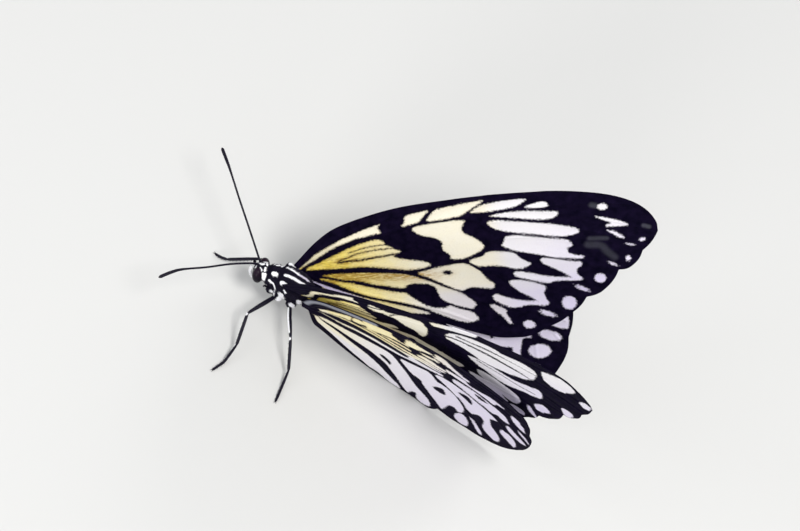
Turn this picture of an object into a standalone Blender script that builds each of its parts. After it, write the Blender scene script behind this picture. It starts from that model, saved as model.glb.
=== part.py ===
import math

import bmesh
import bpy
from mathutils import Matrix, Vector
from mathutils.geometry import delaunay_2d_cdt

# A paper kite butterfly at life size, standing with its wings held up in a V.
# Every size below is in millimetres in the butterfly's own frame: +X forward, +Y to its left,
# +Z up, and the zero point midway between the roots of the forewings. At the end the whole
# model is moved so that the world's origin lies on the floor under the middle of its box.

MM = 0.001
GAP = 0.3
FLOOR_Z = -10.4
SIDES = {"left": 1, "right": -1}

# Wings: a membrane with the veins raised on both faces.
MEMBRANE = 0.5
RIDGE = 0.17
VEIN_STEP = 3.4
EDGE_STEP = 2.2
SCALLOP = 0.35
VEIN_HALF_WIDTH = 0.62
VEIN_TAPER = 0.3

# The forewing lies flat in a frame of its own: x from the root to the tip, y to the front edge.
FOREWING_X = Vector((-0.7616, 0.2827, 0.5831))
FOREWING_Y = Vector((0.6433, 0.2211, 0.7330))
FOREWING_ROOT = Vector((0.0, 2.37, 0.0))
WING_LENGTH = 68.0

# The left forewing is held a little further forward and lower than the right one, and bows.
# Its hind root tucks in below the hindwing.
FOREWING_HOLD = {
    "left": dict(turn=(-3.9, -1.25, 2.35), shift=(0.5, 0.1, -0.7), bow=-10.15, twist=-3.2,
                 curl=7.8, tuck=1.3),
    "right": dict(turn=(0.0, 0.0, 0.0), shift=(0.0, 0.0, 0.0), bow=0.0, twist=0.0, curl=0.0,
                  tuck=0.0),
}

FOREWING_FRONT_EDGE = [(-1.3, -0.2), (0.3, 1.3), (5, 5.4), (10, 8.1), (20, 10.5), (30, 11.2),
                       (40, 11.3), (50, 10.7), (58.2, 9.2), (63.3, 7.2), (66.2, 4.7),
                       (67.7, 1.9), (67.8, -0.1)]
FOREWING_OUTER_CORNERS = [(67.8, -0.1), (64.4, -4.1), (62.0, -7.2), (59.4, -7.8), (56.2, -11.8),
                          (52.5, -13.2), (49.2, -16.4), (44.0, -19.2), (39.5, -20.8)]
FOREWING_HIND_EDGE = [(39.5, -20.8), (35, -20.4), (31, -18.9), (24, -15.4), (15, -11.6),
                      (9, -8.7), (5.6, -6.4), (2.6, -3.9), (-1.0, -1.9)]
FOREWING_VEINS = {
    "subcosta": [(0.5, 0.4), (8, 5.3), (16, 7.9), (24, 9.6), (31, 10.6)],
    "radius": [(0.2, 0.0), (7.5, 3.9), (17, 5.5), (25, 6.6), (33, 7.4), (41, 7.7), (50, 7.6),
               (58, 7.2), (63.5, 6.2)],
    "radius_1": [(23, 6.4), (28, 9.0), (36, 10.7)],
    "radius_2": [(33, 7.4), (38, 9.6), (46, 10.5)],
    "radius_4": [(41, 7.7), (50, 6.0), (60, 3.0), (67.0, -0.4)],
    "cell_end": [(33, 7.4), (36.6, 4.6), (37.2, 1.4), (36.2, -0.6)],
    "media_1": [(36.6, 5.6), (44, 5.0), (52, 2.6), (60, -0.6), (65.0, -3.2)],
    "media_2": [(37.2, 1.8), (44, 1.4), (51, -0.4), (57, -3.8), (61.6, -6.7)],
    "media_3": [(36.2, -0.6), (43, -1.9), (50, -4.4), (58.8, -7.6)],
    "cubitus": [(0.2, -0.5), (8, -1.6), (20, -3.3), (31.5, -2.3), (36.2, -0.6)],
    "cubitus_1": [(31.5, -2.3), (36, -5.8), (44, -8.2), (52, -10.6), (55.6, -11.7)],
    "cubitus_2": [(21.8, -3.7), (28, -8.2), (35, -13.0), (44, -15.6), (48.6, -16.2)],
    "anal": [(0.4, -0.9), (6, -5.0), (14, -8.5), (24, -12.4), (32, -16.9), (39.2, -19.9)],
}

# The hindwing's flat frame: x straight back, y up in its plane. Its lower edge is its inner
# margin, which comes down to the floor behind the feet.
HINDWING_X = Vector((-0.9965, 0.0836, 0.0))
HINDWING_Y = Vector((0.0293, 0.3490, 0.9367))
HINDWING_ROOT = Vector((-3.42, 3.61, -1.85))
HINDWING_REST_Y = -9.25
HINDWING_ROOT_BEND = 1.7
HINDWING_UPPER_EDGE = [(45.2, 19.5), (42.6, 22.0), (38, 24.0), (32, 25.1), (26, 25.0),
                       (20, 23.4), (13, 19.4), (6, 14.0), (2.7, 11.0), (0.6, 7.6), (0.1, 3.6),
                       (0.6, 0.6), (0.2, -1.6)]
HINDWING_INNER_EDGE = [(0.2, -1.6), (2.0, -3.6), (4.4, -4.5), (7.3, -5.4), (11.5, -7.0),
                       (16, -8.4), (20.5, HINDWING_REST_Y)]
HINDWING_OUTER_CORNERS = [(20.5, HINDWING_REST_Y), (31.5, HINDWING_REST_Y), (33.2, -6.3),
                          (39.8, -5.9), (45.2, -5.0), (49.2, 0.4), (49.8, 7.6), (47.9, 13.0),
                          (45.2, 19.5)]
HINDWING_VEINS = {
    "subcosta": [(1.4, 2.2), (3.2, 8.6), (9, 15.0), (17, 20.4), (27, 23.4), (39, 22.4)],
    "radius": [(2.2, 2.4), (8, 11.6), (15, 16.4), (24, 20.6), (34, 21.6), (43.6, 19.6)],
    "cell_end": [(24, 20.6), (28.4, 18.2), (28.8, 14.5)],
    "media_1": [(28.4, 18.6), (36, 18.3), (45.6, 16.0)],
    "media_2": [(28.6, 17.2), (37, 16.4), (48.6, 10.6)],
    "media_3": [(28.8, 14.5), (36, 13.2), (42, 9.8), (48.6, 0.9)],
    "cubitus": [(2.4, 1.4), (7, 5.0), (12, 6.8), (19, 8.3), (25, 11.4), (28.8, 14.5)],
    "cubitus_1": [(27, 12.3), (32, 9.6), (37, 3.4), (44.4, -4.6)],
    "cubitus_2": [(20, 8.6), (24, 4.9), (29, -0.6), (33.6, -5.6)],
    "anal_2": [(2.6, 0.7), (10, 0.5), (17, -0.3), (22, -3.6), (28.0, -8.6)],
    "anal_3": [(2.2, -0.6), (9, -3.3), (15, -6.0), (19.5, -8.4)],
}

# Thorax and abdomen, as rings along X: place, centre height, half width, half height.
THORAX_RINGS = [(2.9, -2.8, 1.3, 1.6), (2.4, -2.6, 2.2, 2.7), (1.2, -2.45, 2.85, 3.4),
                (-0.3, -2.35, 3.05, 3.6), (-2.0, -2.35, 2.95, 3.5), (-3.6, -2.4, 2.5, 3.0),
                (-5.0, -2.65, 1.85, 2.2), (-5.9, -2.9, 1.1, 1.3)]
THORAX_END = 0.2
ABDOMEN_FRONT_X = -5.7
ABDOMEN_LENGTH = 23.0
ABDOMEN_RADIUS = 1.75
ABDOMEN_SEGMENTS = 8
ABDOMEN_FRONT_Z = -3.0
ABDOMEN_DROOP = 2.6

# Head, in a frame whose x is the face's direction and z the crown's. It is turned a little
# to the butterfly's right. Only the part of an eye outside its centre's y is there.
HEAD_CENTRE = Vector((5.5, 0.08, -3.15))
HEAD_PITCH = math.radians(25.0)
HEAD_YAW = math.radians(-7.0)
HEAD_HALF = (1.75, 2.0, 1.9)
HEAD_SET_BACK = -0.3
EYE_CENTRE = (0.15, 1.3, 0.0)
EYE_HALF = (0.8, 1.3, 1.7)
NECK_CENTRE = (3.4, 0.0, -2.75)
NECK_HALF = (1.3, 2.1, 2.15)

# Feelers and mouth.
ANTENNA_PATH = [(6.35, 0.55, -1.95), (7.2, 0.8, -1.15), (11.4, 4.6, 0.2), (15.4, 8.6, 1.0),
                (19.4, 12.5, 2.1), (21.1, 14.4, 2.1), (22.7, 16.5, 1.7)]
ANTENNA_RADIUS = 0.26
ANTENNA_CLUB_RADIUS = 0.34
PALP_PATH = [(0.95, 0.85, -1.8), (1.55, 0.95, -0.85), (1.72, 0.95, 0.1), (1.6, 0.85, 1.05)]
PALP_RADIUS = 0.36
PROBOSCIS_CENTRE = (0.65, 0.0, -2.2)
PROBOSCIS_TURNS = 1.6
PROBOSCIS_INNER = 0.3
PROBOSCIS_PITCH = 0.62
PROBOSCIS_RADIUS = 0.25

# Legs as joint places for the left side: hip, knee, end of the shin, two places on the foot.
# The reduced front legs are folded against the chest.
LEG_PATHS = {
    "midleg_left": [(0.6, 1.7, -4.6), (1.9, 4.6, -5.2), (3.95, 8.3, -5.7), (2.9, 13.7, -8.7),
                    (3.5, 17.6, -9.9), (4.8, 20.2, FLOOR_Z)],
    "midleg_right": [(0.9, -1.7, -4.6), (3.2, -3.2, -5.9), (6.0, -4.3, -6.1),
                     (11.2, -2.7, -9.3), (12.6, -2.8, -10.0), (13.7, -3.1, FLOOR_Z)],
    "hindleg_left": [(-2.7, 1.7, -4.6), (-3.8, 4.4, -5.4), (-5.3, 8.3, -5.7),
                     (-8.0, 12.8, -8.8), (-8.3, 16.2, -9.9), (-8.4, 19.4, FLOOR_Z)],
    "hindleg_right": [(-2.7, -1.7, -4.6), (-3.8, -4.4, -5.4), (-5.3, -8.3, -5.7),
                      (-8.0, -12.8, -8.8), (-8.3, -16.2, -9.9), (-8.4, -19.4, FLOOR_Z)],
    "foreleg_left": [(2.3, 1.1, -4.4), (3.5, 1.35, -5.6), (4.0, 1.3, -4.9), (4.25, 1.25, -6.2)],
    "foreleg_right": [(2.3, -1.1, -4.4), (3.5, -1.35, -5.6), (4.0, -1.3, -4.9),
                      (4.25, -1.25, -6.2)],
}
THIGH_RADIUS = 0.5
SHIN_RADIUS = 0.36
FOOT_RADIUS = 0.27
FORELEG_RADIUS = 0.27
PAD = (1.3, 0.75, 0.55)
LEG_STEP = 1.1

COLOURS = {
    "black": ((0.012, 0.010, 0.018, 1.0), 0.55),
    "eye": ((0.030, 0.014, 0.030, 1.0), 0.18),
    "white": ((0.80, 0.79, 0.78, 1.0), 0.65),
    "wing": ((0.78, 0.75, 0.66, 1.0), 0.60),
}


def smooth_path(points, step):
    """Points about one step apart on a smooth curve through the given points."""
    points = [Vector(p) for p in points]
    ends = [2 * points[0] - points[1]] + points + [2 * points[-1] - points[-2]]
    path = []
    for i in range(1, len(ends) - 2):
        p0, p1, p2, p3 = ends[i - 1:i + 3]
        count = max(1, round((p2 - p1).length / step))
        for j in range(count):
            t = j / count
            path.append(0.5 * (2 * p1 + (p2 - p0) * t
                               + (2 * p0 - 5 * p1 + 4 * p2 - p3) * t ** 2
                               + (3 * p1 - p0 - 3 * p2 + p3) * t ** 3))
    path.append(points[-1])
    return path


def scallops(corners, depth, step):
    """A wing's outer margin: chords between corners, each bowed by depth, to the right of
    their direction where depth is above zero."""
    path = []
    for start, end in zip(corners, corners[1:]):
        start, end = Vector(start), Vector(end)
        chord = end - start
        out = Vector((chord.y, -chord.x)).normalized()
        count = max(2, round(chord.length / step))
        for j in range(count):
            t = j / count
            path.append(start + chord * t + out * depth * math.sin(math.pi * t))
    path.append(Vector(corners[-1]))
    return path


def material(name):
    found = bpy.data.materials.get(name)
    if found:
        return found
    colour, roughness = COLOURS[name]
    made = bpy.data.materials.new(name)
    made.use_nodes = True
    shader = made.node_tree.nodes["Principled BSDF"]
    shader.inputs["Base Color"].default_value = colour
    shader.inputs["Roughness"].default_value = roughness
    shader.inputs["Metallic"].default_value = 0.0
    made.diffuse_color = colour
    return made


def add_object(name, mesh, look, collection):
    """An object from a mesh. Meshes stay in millimetres until the last lines of the script."""
    made = bpy.data.objects.new(name, mesh)
    mesh.materials.clear()
    mesh.materials.append(material(look))
    mesh.shade_smooth()
    mesh.set_sharp_from_angle(angle=math.radians(40))
    collection.objects.link(made)
    return made


def mesh_from(bm, name):
    bmesh.ops.recalc_face_normals(bm, faces=bm.faces)
    mesh = bpy.data.meshes.new(name)
    bm.to_mesh(mesh)
    bm.free()
    return mesh


def ball(name, centre, half, frame=Matrix.Identity(4), segments=32, rings=20):
    """An ellipsoid with the given half sizes, in a frame."""
    bm = bmesh.new()
    bmesh.ops.create_uvsphere(bm, u_segments=segments, v_segments=rings, radius=1.0)
    place = frame @ Matrix.Translation(centre) @ Matrix.Diagonal((*half, 1.0))
    bmesh.ops.transform(bm, matrix=place, verts=bm.verts)
    return mesh_from(bm, name)


def lofted(name, rings, around):
    """A closed body through elliptic rings across X, with a point at each end."""
    bm = bmesh.new()
    loops = []
    for x, z, half_width, half_height in rings:
        turn = [2 * math.pi * (i + 0.5) / around for i in range(around)]
        loops.append([bm.verts.new((x, half_width * math.cos(a), z + half_height * math.sin(a)))
                      for a in turn])
    for near, far in zip(loops, loops[1:]):
        for i in range(around):
            k = (i + 1) % around
            bm.faces.new((near[i], near[k], far[k], far[i]))
    for loop, (x, z, half_width, _), sense in ((loops[0], rings[0], 1), (loops[-1], rings[-1], -1)):
        tip = bm.verts.new((x + sense * half_width * THORAX_END, 0.0, z))
        for i in range(around):
            bm.faces.new((loop[i], loop[(i + 1) % around], tip))
    return mesh_from(bm, name)


def tube(name, path, radii, resolution=1):
    """A round tube along a path, with a radius for each of its points."""
    curve = bpy.data.curves.new(name, "CURVE")
    curve.dimensions = "3D"
    curve.bevel_depth = 1.0
    curve.bevel_resolution = resolution
    curve.use_fill_caps = True
    spline = curve.splines.new("POLY")
    spline.points.add(len(path) - 1)
    for point, place, radius in zip(spline.points, path, radii):
        point.co = (*place, 1.0)
        point.radius = radius
    guide = bpy.data.objects.new(name, curve)
    bpy.context.scene.collection.objects.link(guide)
    bpy.context.view_layer.update()
    mesh = bpy.data.meshes.new_from_object(guide.evaluated_get(
        bpy.context.evaluated_depsgraph_get()))
    bpy.data.objects.remove(guide)
    bm = bmesh.new()
    bm.from_mesh(mesh)
    bmesh.ops.remove_doubles(bm, verts=bm.verts, dist=0.0001)
    return mesh_from(bm, name)


def boolean(target, operation, tool=None, collection=None):
    """Applies one Boolean modifier to an object."""
    step = target.modifiers.new(operation.lower(), "BOOLEAN")
    step.operation = operation
    step.solver = "EXACT"
    if collection is None:
        step.object = tool
    else:
        step.operand_type = "COLLECTION"
        step.collection = collection
    apply_modifiers(target)


def apply_modifiers(target):
    bpy.context.view_layer.update()
    result = bpy.data.meshes.new_from_object(target.evaluated_get(
        bpy.context.evaluated_depsgraph_get()))
    target.modifiers.clear()
    target.data = result


def keep_largest(target):
    """Keeps the largest closed surface of a mesh and triangulates it."""
    bm = bmesh.new()
    bm.from_mesh(target.data)
    bmesh.ops.remove_doubles(bm, verts=bm.verts, dist=0.0005)
    bmesh.ops.dissolve_degenerate(bm, dist=0.0005, edges=bm.edges)
    bmesh.ops.triangulate(bm, faces=bm.faces)
    left = set(bm.verts)
    islands = []
    while left:
        stack = [left.pop()]
        island = set(stack)
        while stack:
            for edge in stack.pop().link_edges:
                for vert in edge.verts:
                    if vert in left:
                        left.remove(vert)
                        island.add(vert)
                        stack.append(vert)
        islands.append(island)
    islands.sort(key=len)
    for island in islands[:-1]:
        bmesh.ops.delete(bm, geom=list(island), context="VERTS")
    bm.to_mesh(target.data)
    bm.free()


def forewing_place(side):
    """The map from the forewing's flat frame to the butterfly's."""
    hold = FOREWING_HOLD[side]
    turn = Vector([math.radians(a) for a in hold["turn"]])
    spin = Matrix.Rotation(turn.length, 3, turn) if turn.length else Matrix.Identity(3)
    along, across = spin @ FOREWING_X, spin @ FOREWING_Y
    outward = along.cross(across)
    root = FOREWING_ROOT + Vector(hold["shift"])

    def place(x, y, height):
        t = x / WING_LENGTH
        bend = hold["bow"] * t ** 2 + hold["twist"] * t * y / 20 + hold["curl"] * t ** 3
        bend -= hold["tuck"] * smooth_step((14 - x) / 9) * smooth_step((-1.0 - y) / 3.5)
        spot = root + along * x + across * y + outward * (height + bend)
        return Vector((spot.x, spot.y * SIDES[side], spot.z))
    return place


def hindwing_place(side):
    """The same for the hindwing, whose root bends in to the thorax below the forewing."""
    outward = HINDWING_X.cross(HINDWING_Y)
    outward = outward if outward.y > 0 else -outward

    def place(x, y, height):
        near = smooth_step((5.2 - x) / 3.6) * smooth_step((0.9 - y) / 2.2)
        spot = HINDWING_ROOT + HINDWING_X * x + HINDWING_Y * y + outward * (height - HINDWING_ROOT_BEND * near)
        return Vector((spot.x, spot.y * SIDES[side], spot.z))
    return place


def smooth_step(t):
    t = min(1.0, max(0.0, t))
    return t * t * (3 - 2 * t)


def vein_distance(spot, veins):
    """Distance to the nearest vein and that vein's half width there."""
    best = (1e9, 1.0)
    for path in veins:
        for a, b, width in path:
            chord = b - a
            t = min(1.0, max(0.0, (spot - a).dot(chord) / chord.length_squared))
            away = (spot - a - chord * t).length
            if away / width < best[0] / best[1]:
                best = (away, width)
    return best


def wing(name, outline, vein_table, place):
    """A wing as one closed body: both faces have the same triangles, with ridged veins."""
    points, edges, veins = [], [], []

    def add_line(path, closed=False):
        first = len(points)
        points.extend(path)
        edges.extend((first + i, first + i + 1) for i in range(len(path) - 1))
        if closed:
            edges.append((first + len(path) - 1, first))

    add_line(outline, closed=True)
    for path in vein_table.values():
        path = smooth_path(path, VEIN_STEP)
        widths = [VEIN_HALF_WIDTH - VEIN_TAPER * min(1.0, p.length / WING_LENGTH) for p in path]
        veins.append([(a, b, w) for a, b, w in zip(path, path[1:], widths)])
        add_line(path)
        for sense in (1, -1):
            side = []
            for i, (p, width) in enumerate(zip(path, widths)):
                ahead = path[min(i + 1, len(path) - 1)] - path[max(i - 1, 0)]
                across = Vector((-ahead.y, ahead.x)).normalized()
                side.append(p + across * sense * width)
            add_line(side)
    result = delaunay_2d_cdt(points, edges, [list(range(len(outline)))], 1, 0.05)
    flat, triangles = result[0], result[2]

    bm = bmesh.new()
    faces = {}
    for sense in (1, -1):
        ring = []
        for spot in flat:
            away, width = vein_distance(spot, veins)
            height = MEMBRANE / 2 + RIDGE * max(0.0, 1 - away / width)
            ring.append(bm.verts.new(place(spot.x, spot.y, sense * height)))
        faces[sense] = ring
    rim = {}
    for triangle in triangles:
        bm.faces.new([faces[1][i] for i in triangle])
        bm.faces.new([faces[-1][i] for i in reversed(triangle)])
        for i in range(3):
            pair = (triangle[i], triangle[(i + 1) % 3])
            if pair[::-1] in rim:
                del rim[pair[::-1]]
            else:
                rim[pair] = True
    for i, k in rim:
        bm.faces.new((faces[1][k], faces[1][i], faces[-1][i]))
        bm.faces.new((faces[1][k], faces[-1][i], faces[-1][k]))
    return mesh_from(bm, name)


def forewing_outline():
    outer = scallops(FOREWING_OUTER_CORNERS, -SCALLOP, EDGE_STEP)
    return (smooth_path(FOREWING_FRONT_EDGE, EDGE_STEP)[:-1] + outer[:-1]
            + smooth_path(FOREWING_HIND_EDGE, EDGE_STEP)[:-1])


def hindwing_outline():
    lower, rest = HINDWING_OUTER_CORNERS[:2], HINDWING_OUTER_CORNERS[1:]
    return (smooth_path(HINDWING_UPPER_EDGE, EDGE_STEP)[:-1]
            + smooth_path(HINDWING_INNER_EDGE, EDGE_STEP)[:-1]
            + smooth_path(lower, EDGE_STEP)[:-1] + scallops(rest, SCALLOP, EDGE_STEP)[:-1])


def head_frame():
    turn = Matrix.Rotation(HEAD_YAW, 4, "Z") @ Matrix.Rotation(HEAD_PITCH, 4, "Y")
    return Matrix.Translation(HEAD_CENTRE) @ turn


def abdomen_rings():
    """Rings that swell and narrow, with a shallow groove between segments."""
    rings = []
    count = ABDOMEN_SEGMENTS * 4
    for i in range(count + 1):
        t = i / count
        swell = math.sin(math.pi * (0.12 + 0.8 * t)) ** 0.6
        groove = 0.05 * math.cos(2 * math.pi * ABDOMEN_SEGMENTS * t)
        radius = ABDOMEN_RADIUS * swell * (1 - groove)
        z = ABDOMEN_FRONT_Z - ABDOMEN_DROOP * t ** 1.5
        rings.append((ABDOMEN_FRONT_X - ABDOMEN_LENGTH * t, z, radius * 0.92, radius))
    return rings


def leg_radii(path, joints):
    """Thigh, shin and foot radii along a leg, with a slight waist at each joint."""
    knee, ankle = Vector(joints[-4]), Vector(joints[-3])
    at_knee = min(range(len(path)), key=lambda i: (path[i] - knee).length)
    at_ankle = min(range(len(path)), key=lambda i: (path[i] - ankle).length)
    radii = []
    for i in range(len(path)):
        if i <= at_knee:
            radii.append(THIGH_RADIUS - 0.14 * (i / max(1, at_knee)) ** 2)
        elif i <= at_ankle:
            radii.append(SHIN_RADIUS)
        else:
            radii.append(FOOT_RADIUS)
    return radii


def add_leg(name, joints, parts, tools):
    joints = [Vector(j) for j in joints]
    on_floor = abs(joints[-1].z - FLOOR_Z) < 0.01
    if on_floor:
        joints[-1] = joints[-1] + Vector((0, 0, FOOT_RADIUS + 0.06))
    path = smooth_path(joints, LEG_STEP)
    radii = leg_radii(path, joints) if on_floor else [FORELEG_RADIUS] * len(path)
    leg = add_object(name, tube(name, path, radii), "black", parts)
    if on_floor:
        heading = joints[-1] - joints[-2]
        bm = bmesh.new()
        bmesh.ops.create_cube(bm, size=1.0)
        bmesh.ops.transform(bm, matrix=Matrix.Diagonal((*PAD, 1.0)), verts=bm.verts)
        bmesh.ops.bevel(bm, geom=bm.edges[:], offset=0.12, segments=1, affect="EDGES")
        yaw = math.atan2(heading.y, heading.x)
        centre = Vector((joints[-1].x, joints[-1].y, FLOOR_Z + PAD[2] / 2))
        place = Matrix.Translation(centre) @ Matrix.Rotation(yaw, 4, "Z")
        bmesh.ops.transform(bm, matrix=place, verts=bm.verts)
        pad = add_object(name + "_pad", mesh_from(bm, name + "_pad"), "black", tools)
        boolean(leg, "UNION", pad)
        bpy.data.objects.remove(pad)
    return leg


def cutter(name, mesh, tools):
    made = add_object(name, mesh, "black", tools)
    made.hide_render = True
    made.display_type = "WIRE"
    return made


def swollen(rings, by):
    grown = [(x, z, w + by, h + by) for x, z, w, h in rings]
    first, last = grown[0], grown[-1]
    grown[0] = (first[0] + by, *first[1:])
    grown[-1] = (last[0] - by, *last[1:])
    return grown


for old in list(bpy.data.objects):
    bpy.data.objects.remove(old)
parts = bpy.data.collections.new("paper_kite_butterfly")
tools = bpy.data.collections.new("cutters")
for collection in (parts, tools):
    bpy.context.scene.collection.children.link(collection)
frame = head_frame()

# Body
thorax = add_object("thorax", lofted("thorax", THORAX_RINGS, 28), "black", parts)
abdomen = add_object("abdomen", lofted("abdomen", abdomen_rings(), 18), "black", parts)
neck = add_object("neck", ball("neck", NECK_CENTRE, NECK_HALF, segments=28, rings=16),
                  "black", parts)
head_half = Vector(HEAD_HALF)
head_middle = (HEAD_SET_BACK, 0.0, 0.0)
head = add_object("head", ball("head", head_middle, head_half, frame, 36, 24), "black", parts)

thorax_cutter = cutter("thorax_cutter", lofted("thorax_cutter", swollen(THORAX_RINGS, GAP), 28),
                       tools)
head_cutter = cutter("head_cutter", ball("head_cutter", head_middle,
                                         head_half + Vector((GAP, GAP, GAP)), frame, 36, 24),
                     tools)
boolean(abdomen, "DIFFERENCE", thorax_cutter)
boolean(neck, "DIFFERENCE", thorax_cutter)
boolean(neck, "DIFFERENCE", head_cutter)

# Eyes, each a dome that sits in a socket in the head
for side, sign in SIDES.items():
    centre = Vector((EYE_CENTRE[0], EYE_CENTRE[1] * sign, EYE_CENTRE[2]))
    eye = add_object(f"eye_{side}", ball("eye", centre, EYE_HALF, frame, 28, 18), "eye", parts)
    inner = centre + Vector((0, -5 * sign, 0))
    bm = bmesh.new()
    bmesh.ops.create_cube(bm, size=10.0)
    bmesh.ops.transform(bm, matrix=frame @ Matrix.Translation(inner), verts=bm.verts)
    inside = cutter("inside", mesh_from(bm, "inside"), tools)
    boolean(eye, "DIFFERENCE", inside)
    bpy.data.objects.remove(inside)
    socket_half = Vector(EYE_HALF) + Vector((GAP, GAP, GAP))
    socket = cutter("socket", ball("socket", centre, socket_half, frame, 28, 18), tools)
    bm = bmesh.new()
    bmesh.ops.create_cube(bm, size=10.0)
    deeper = inner + Vector((0, -GAP * sign, 0))
    bmesh.ops.transform(bm, matrix=frame @ Matrix.Translation(deeper), verts=bm.verts)
    inside = cutter("inside", mesh_from(bm, "inside"), tools)
    boolean(socket, "DIFFERENCE", inside)
    bpy.data.objects.remove(inside)
    boolean(head, "DIFFERENCE", socket)
    bpy.data.objects.remove(socket)

# Antennae, palps and coiled tongue
for side, sign in SIDES.items():
    path = smooth_path([(x, y * sign, z) for x, y, z in ANTENNA_PATH], 1.4)
    radii = [ANTENNA_RADIUS + (ANTENNA_CLUB_RADIUS - ANTENNA_RADIUS)
             * smooth_step((i / (len(path) - 1) - 0.72) / 0.2) for i in range(len(path))]
    radii[-1] = ANTENNA_RADIUS
    antenna = add_object(f"antenna_{side}", tube("antenna", path, radii), "black", parts)
    boolean(antenna, "DIFFERENCE", head_cutter)
    path = smooth_path([frame @ Vector((x, y * sign, z)) for x, y, z in PALP_PATH], 0.45)
    radii = [PALP_RADIUS * (1 - 0.35 * (i / (len(path) - 1)) ** 3) for i in range(len(path))]
    palp = add_object(f"palp_{side}", tube("palp", path, radii, 2), "white", parts)
    boolean(palp, "DIFFERENCE", head_cutter)

coil = []
coil_steps = int(PROBOSCIS_TURNS * 16)
for i in range(coil_steps + 1):
    turn = 2 * math.pi * i / 16
    radius = PROBOSCIS_INNER + PROBOSCIS_PITCH * i / 16
    spot = Vector(PROBOSCIS_CENTRE) + Vector((radius * math.cos(turn), 0, radius * math.sin(turn)))
    coil.append(frame @ spot)
tongue = add_object("proboscis", tube("proboscis", coil, [PROBOSCIS_RADIUS] * len(coil)),
                    "black", parts)
boolean(tongue, "DIFFERENCE", head_cutter)

# Wings. The hindwings' lower edges are cut level where they rest on the floor.
bm = bmesh.new()
bmesh.ops.create_cube(bm, size=1.0)
below = Matrix.Translation((-30, 0, FLOOR_Z - 5)) @ Matrix.Diagonal((80, 60, 10, 1))
bmesh.ops.transform(bm, matrix=below, verts=bm.verts)
floor_cutter = cutter("floor_cutter", mesh_from(bm, "floor_cutter"), tools)
for side in SIDES:
    fore = wing(f"forewing_{side}", forewing_outline(), FOREWING_VEINS, forewing_place(side))
    hind = wing(f"hindwing_{side}", hindwing_outline(), HINDWING_VEINS, hindwing_place(side))
    for mesh in (fore, hind):
        made = add_object(mesh.name, mesh, "wing", parts)
        boolean(made, "DIFFERENCE", thorax_cutter)
        if mesh is hind:
            boolean(made, "DIFFERENCE", floor_cutter)

# Legs
for name, joints in LEG_PATHS.items():
    leg = add_leg(name, joints, parts, tools)
    boolean(leg, "DIFFERENCE", thorax_cutter)

for made in parts.objects:
    keep_largest(made)
for made in list(tools.objects):
    bpy.data.objects.remove(made)
for made in parts.objects:
    made.data.transform(Matrix.Scale(MM, 4))

# The origin goes to the floor under the middle of the whole model's box.
corners = [v.co for made in parts.objects for v in made.data.vertices]
middle = [(min(c[k] for c in corners) + max(c[k] for c in corners)) / 2 for k in (0, 1)]
base = bpy.data.objects.new("ground_centre", None)
parts.objects.link(base)
base.location = (-middle[0], -middle[1], -FLOOR_Z * MM)
for made in parts.objects:
    if made.type == "MESH":
        made.parent = base
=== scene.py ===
import math

import bpy
import numpy as np
from mathutils import Matrix, Vector


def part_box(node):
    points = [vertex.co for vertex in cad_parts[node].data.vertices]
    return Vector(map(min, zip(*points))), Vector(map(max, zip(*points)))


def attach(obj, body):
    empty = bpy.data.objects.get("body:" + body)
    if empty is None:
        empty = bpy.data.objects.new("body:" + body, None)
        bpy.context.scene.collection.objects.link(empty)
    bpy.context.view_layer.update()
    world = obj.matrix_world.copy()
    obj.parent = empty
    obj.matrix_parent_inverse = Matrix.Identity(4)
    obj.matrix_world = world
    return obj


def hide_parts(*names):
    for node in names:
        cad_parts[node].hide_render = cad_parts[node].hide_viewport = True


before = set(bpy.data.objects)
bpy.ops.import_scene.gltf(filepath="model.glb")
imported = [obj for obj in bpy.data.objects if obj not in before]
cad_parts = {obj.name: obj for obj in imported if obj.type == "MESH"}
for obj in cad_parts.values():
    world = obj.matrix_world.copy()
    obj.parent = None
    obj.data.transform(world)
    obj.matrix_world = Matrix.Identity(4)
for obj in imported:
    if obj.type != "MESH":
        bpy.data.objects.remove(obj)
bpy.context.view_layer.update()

# A paper kite butterfly standing with its wings in a V. Lengths are in millimetres in the
# butterfly's own frame: x forward, y to its left, z up, zero midway between the roots of the
# forewings. settle takes a finished piece to the CAD's metres.
sides = {"left": 1, "right": -1}
floorZ = -10.4
thoraxMiddle = (-1.48, 0.0)  # middle of the CAD thorax's box, in the butterfly's frame
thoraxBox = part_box("thorax")
shift = [500 * (thoraxBox[0][k] + thoraxBox[1][k]) - thoraxMiddle[k] for k in (0, 1)] + [-floorZ]
toWorld = Matrix.Scale(0.001, 4) @ Matrix.Translation(shift)
dice = np.random.default_rng(11)
print("frame loaded, shift in mm", [round(s, 3) for s in shift])

# camera, lights and floor
view = {
    "lens": 169.43,
    "film": 36,
    "near": 0.01,
    "far": 20,
    "place": (87.511, 409.366, 561.39),
    "right": (-0.85641, -0.32187, 0.40368),
    "up": (0.49465, -0.73554, 0.46292),
    "back": (0.14792, 0.59613, 0.78914),
}
# place, size, power and colour of each lamp, in metres and watts
lamps = {
    "keyLight": ((-0.2, 0.3, 0.9), 0.4, 7.0, (1.0, 0.985, 0.96)),
    "sideLight": ((0.1, 0.95, 0.35), 0.4, 3.2, (1.0, 0.985, 0.96)),
    "fillLight": ((0.8, 0.3, 0.6), 0.7, 2.6, (0.93, 0.96, 1.0)),
    "backLight": ((-0.5, -0.8, 0.6), 0.6, 2.5, (1.0, 0.98, 0.95)),
}
studio = {"sky": (0.88, 0.9, 0.94, 1), "skyStrength": 0.55, "floorSize": 6,
          "floor": (0.6, 0.6, 0.59, 1), "floorRoughness": 0.9}


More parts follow.
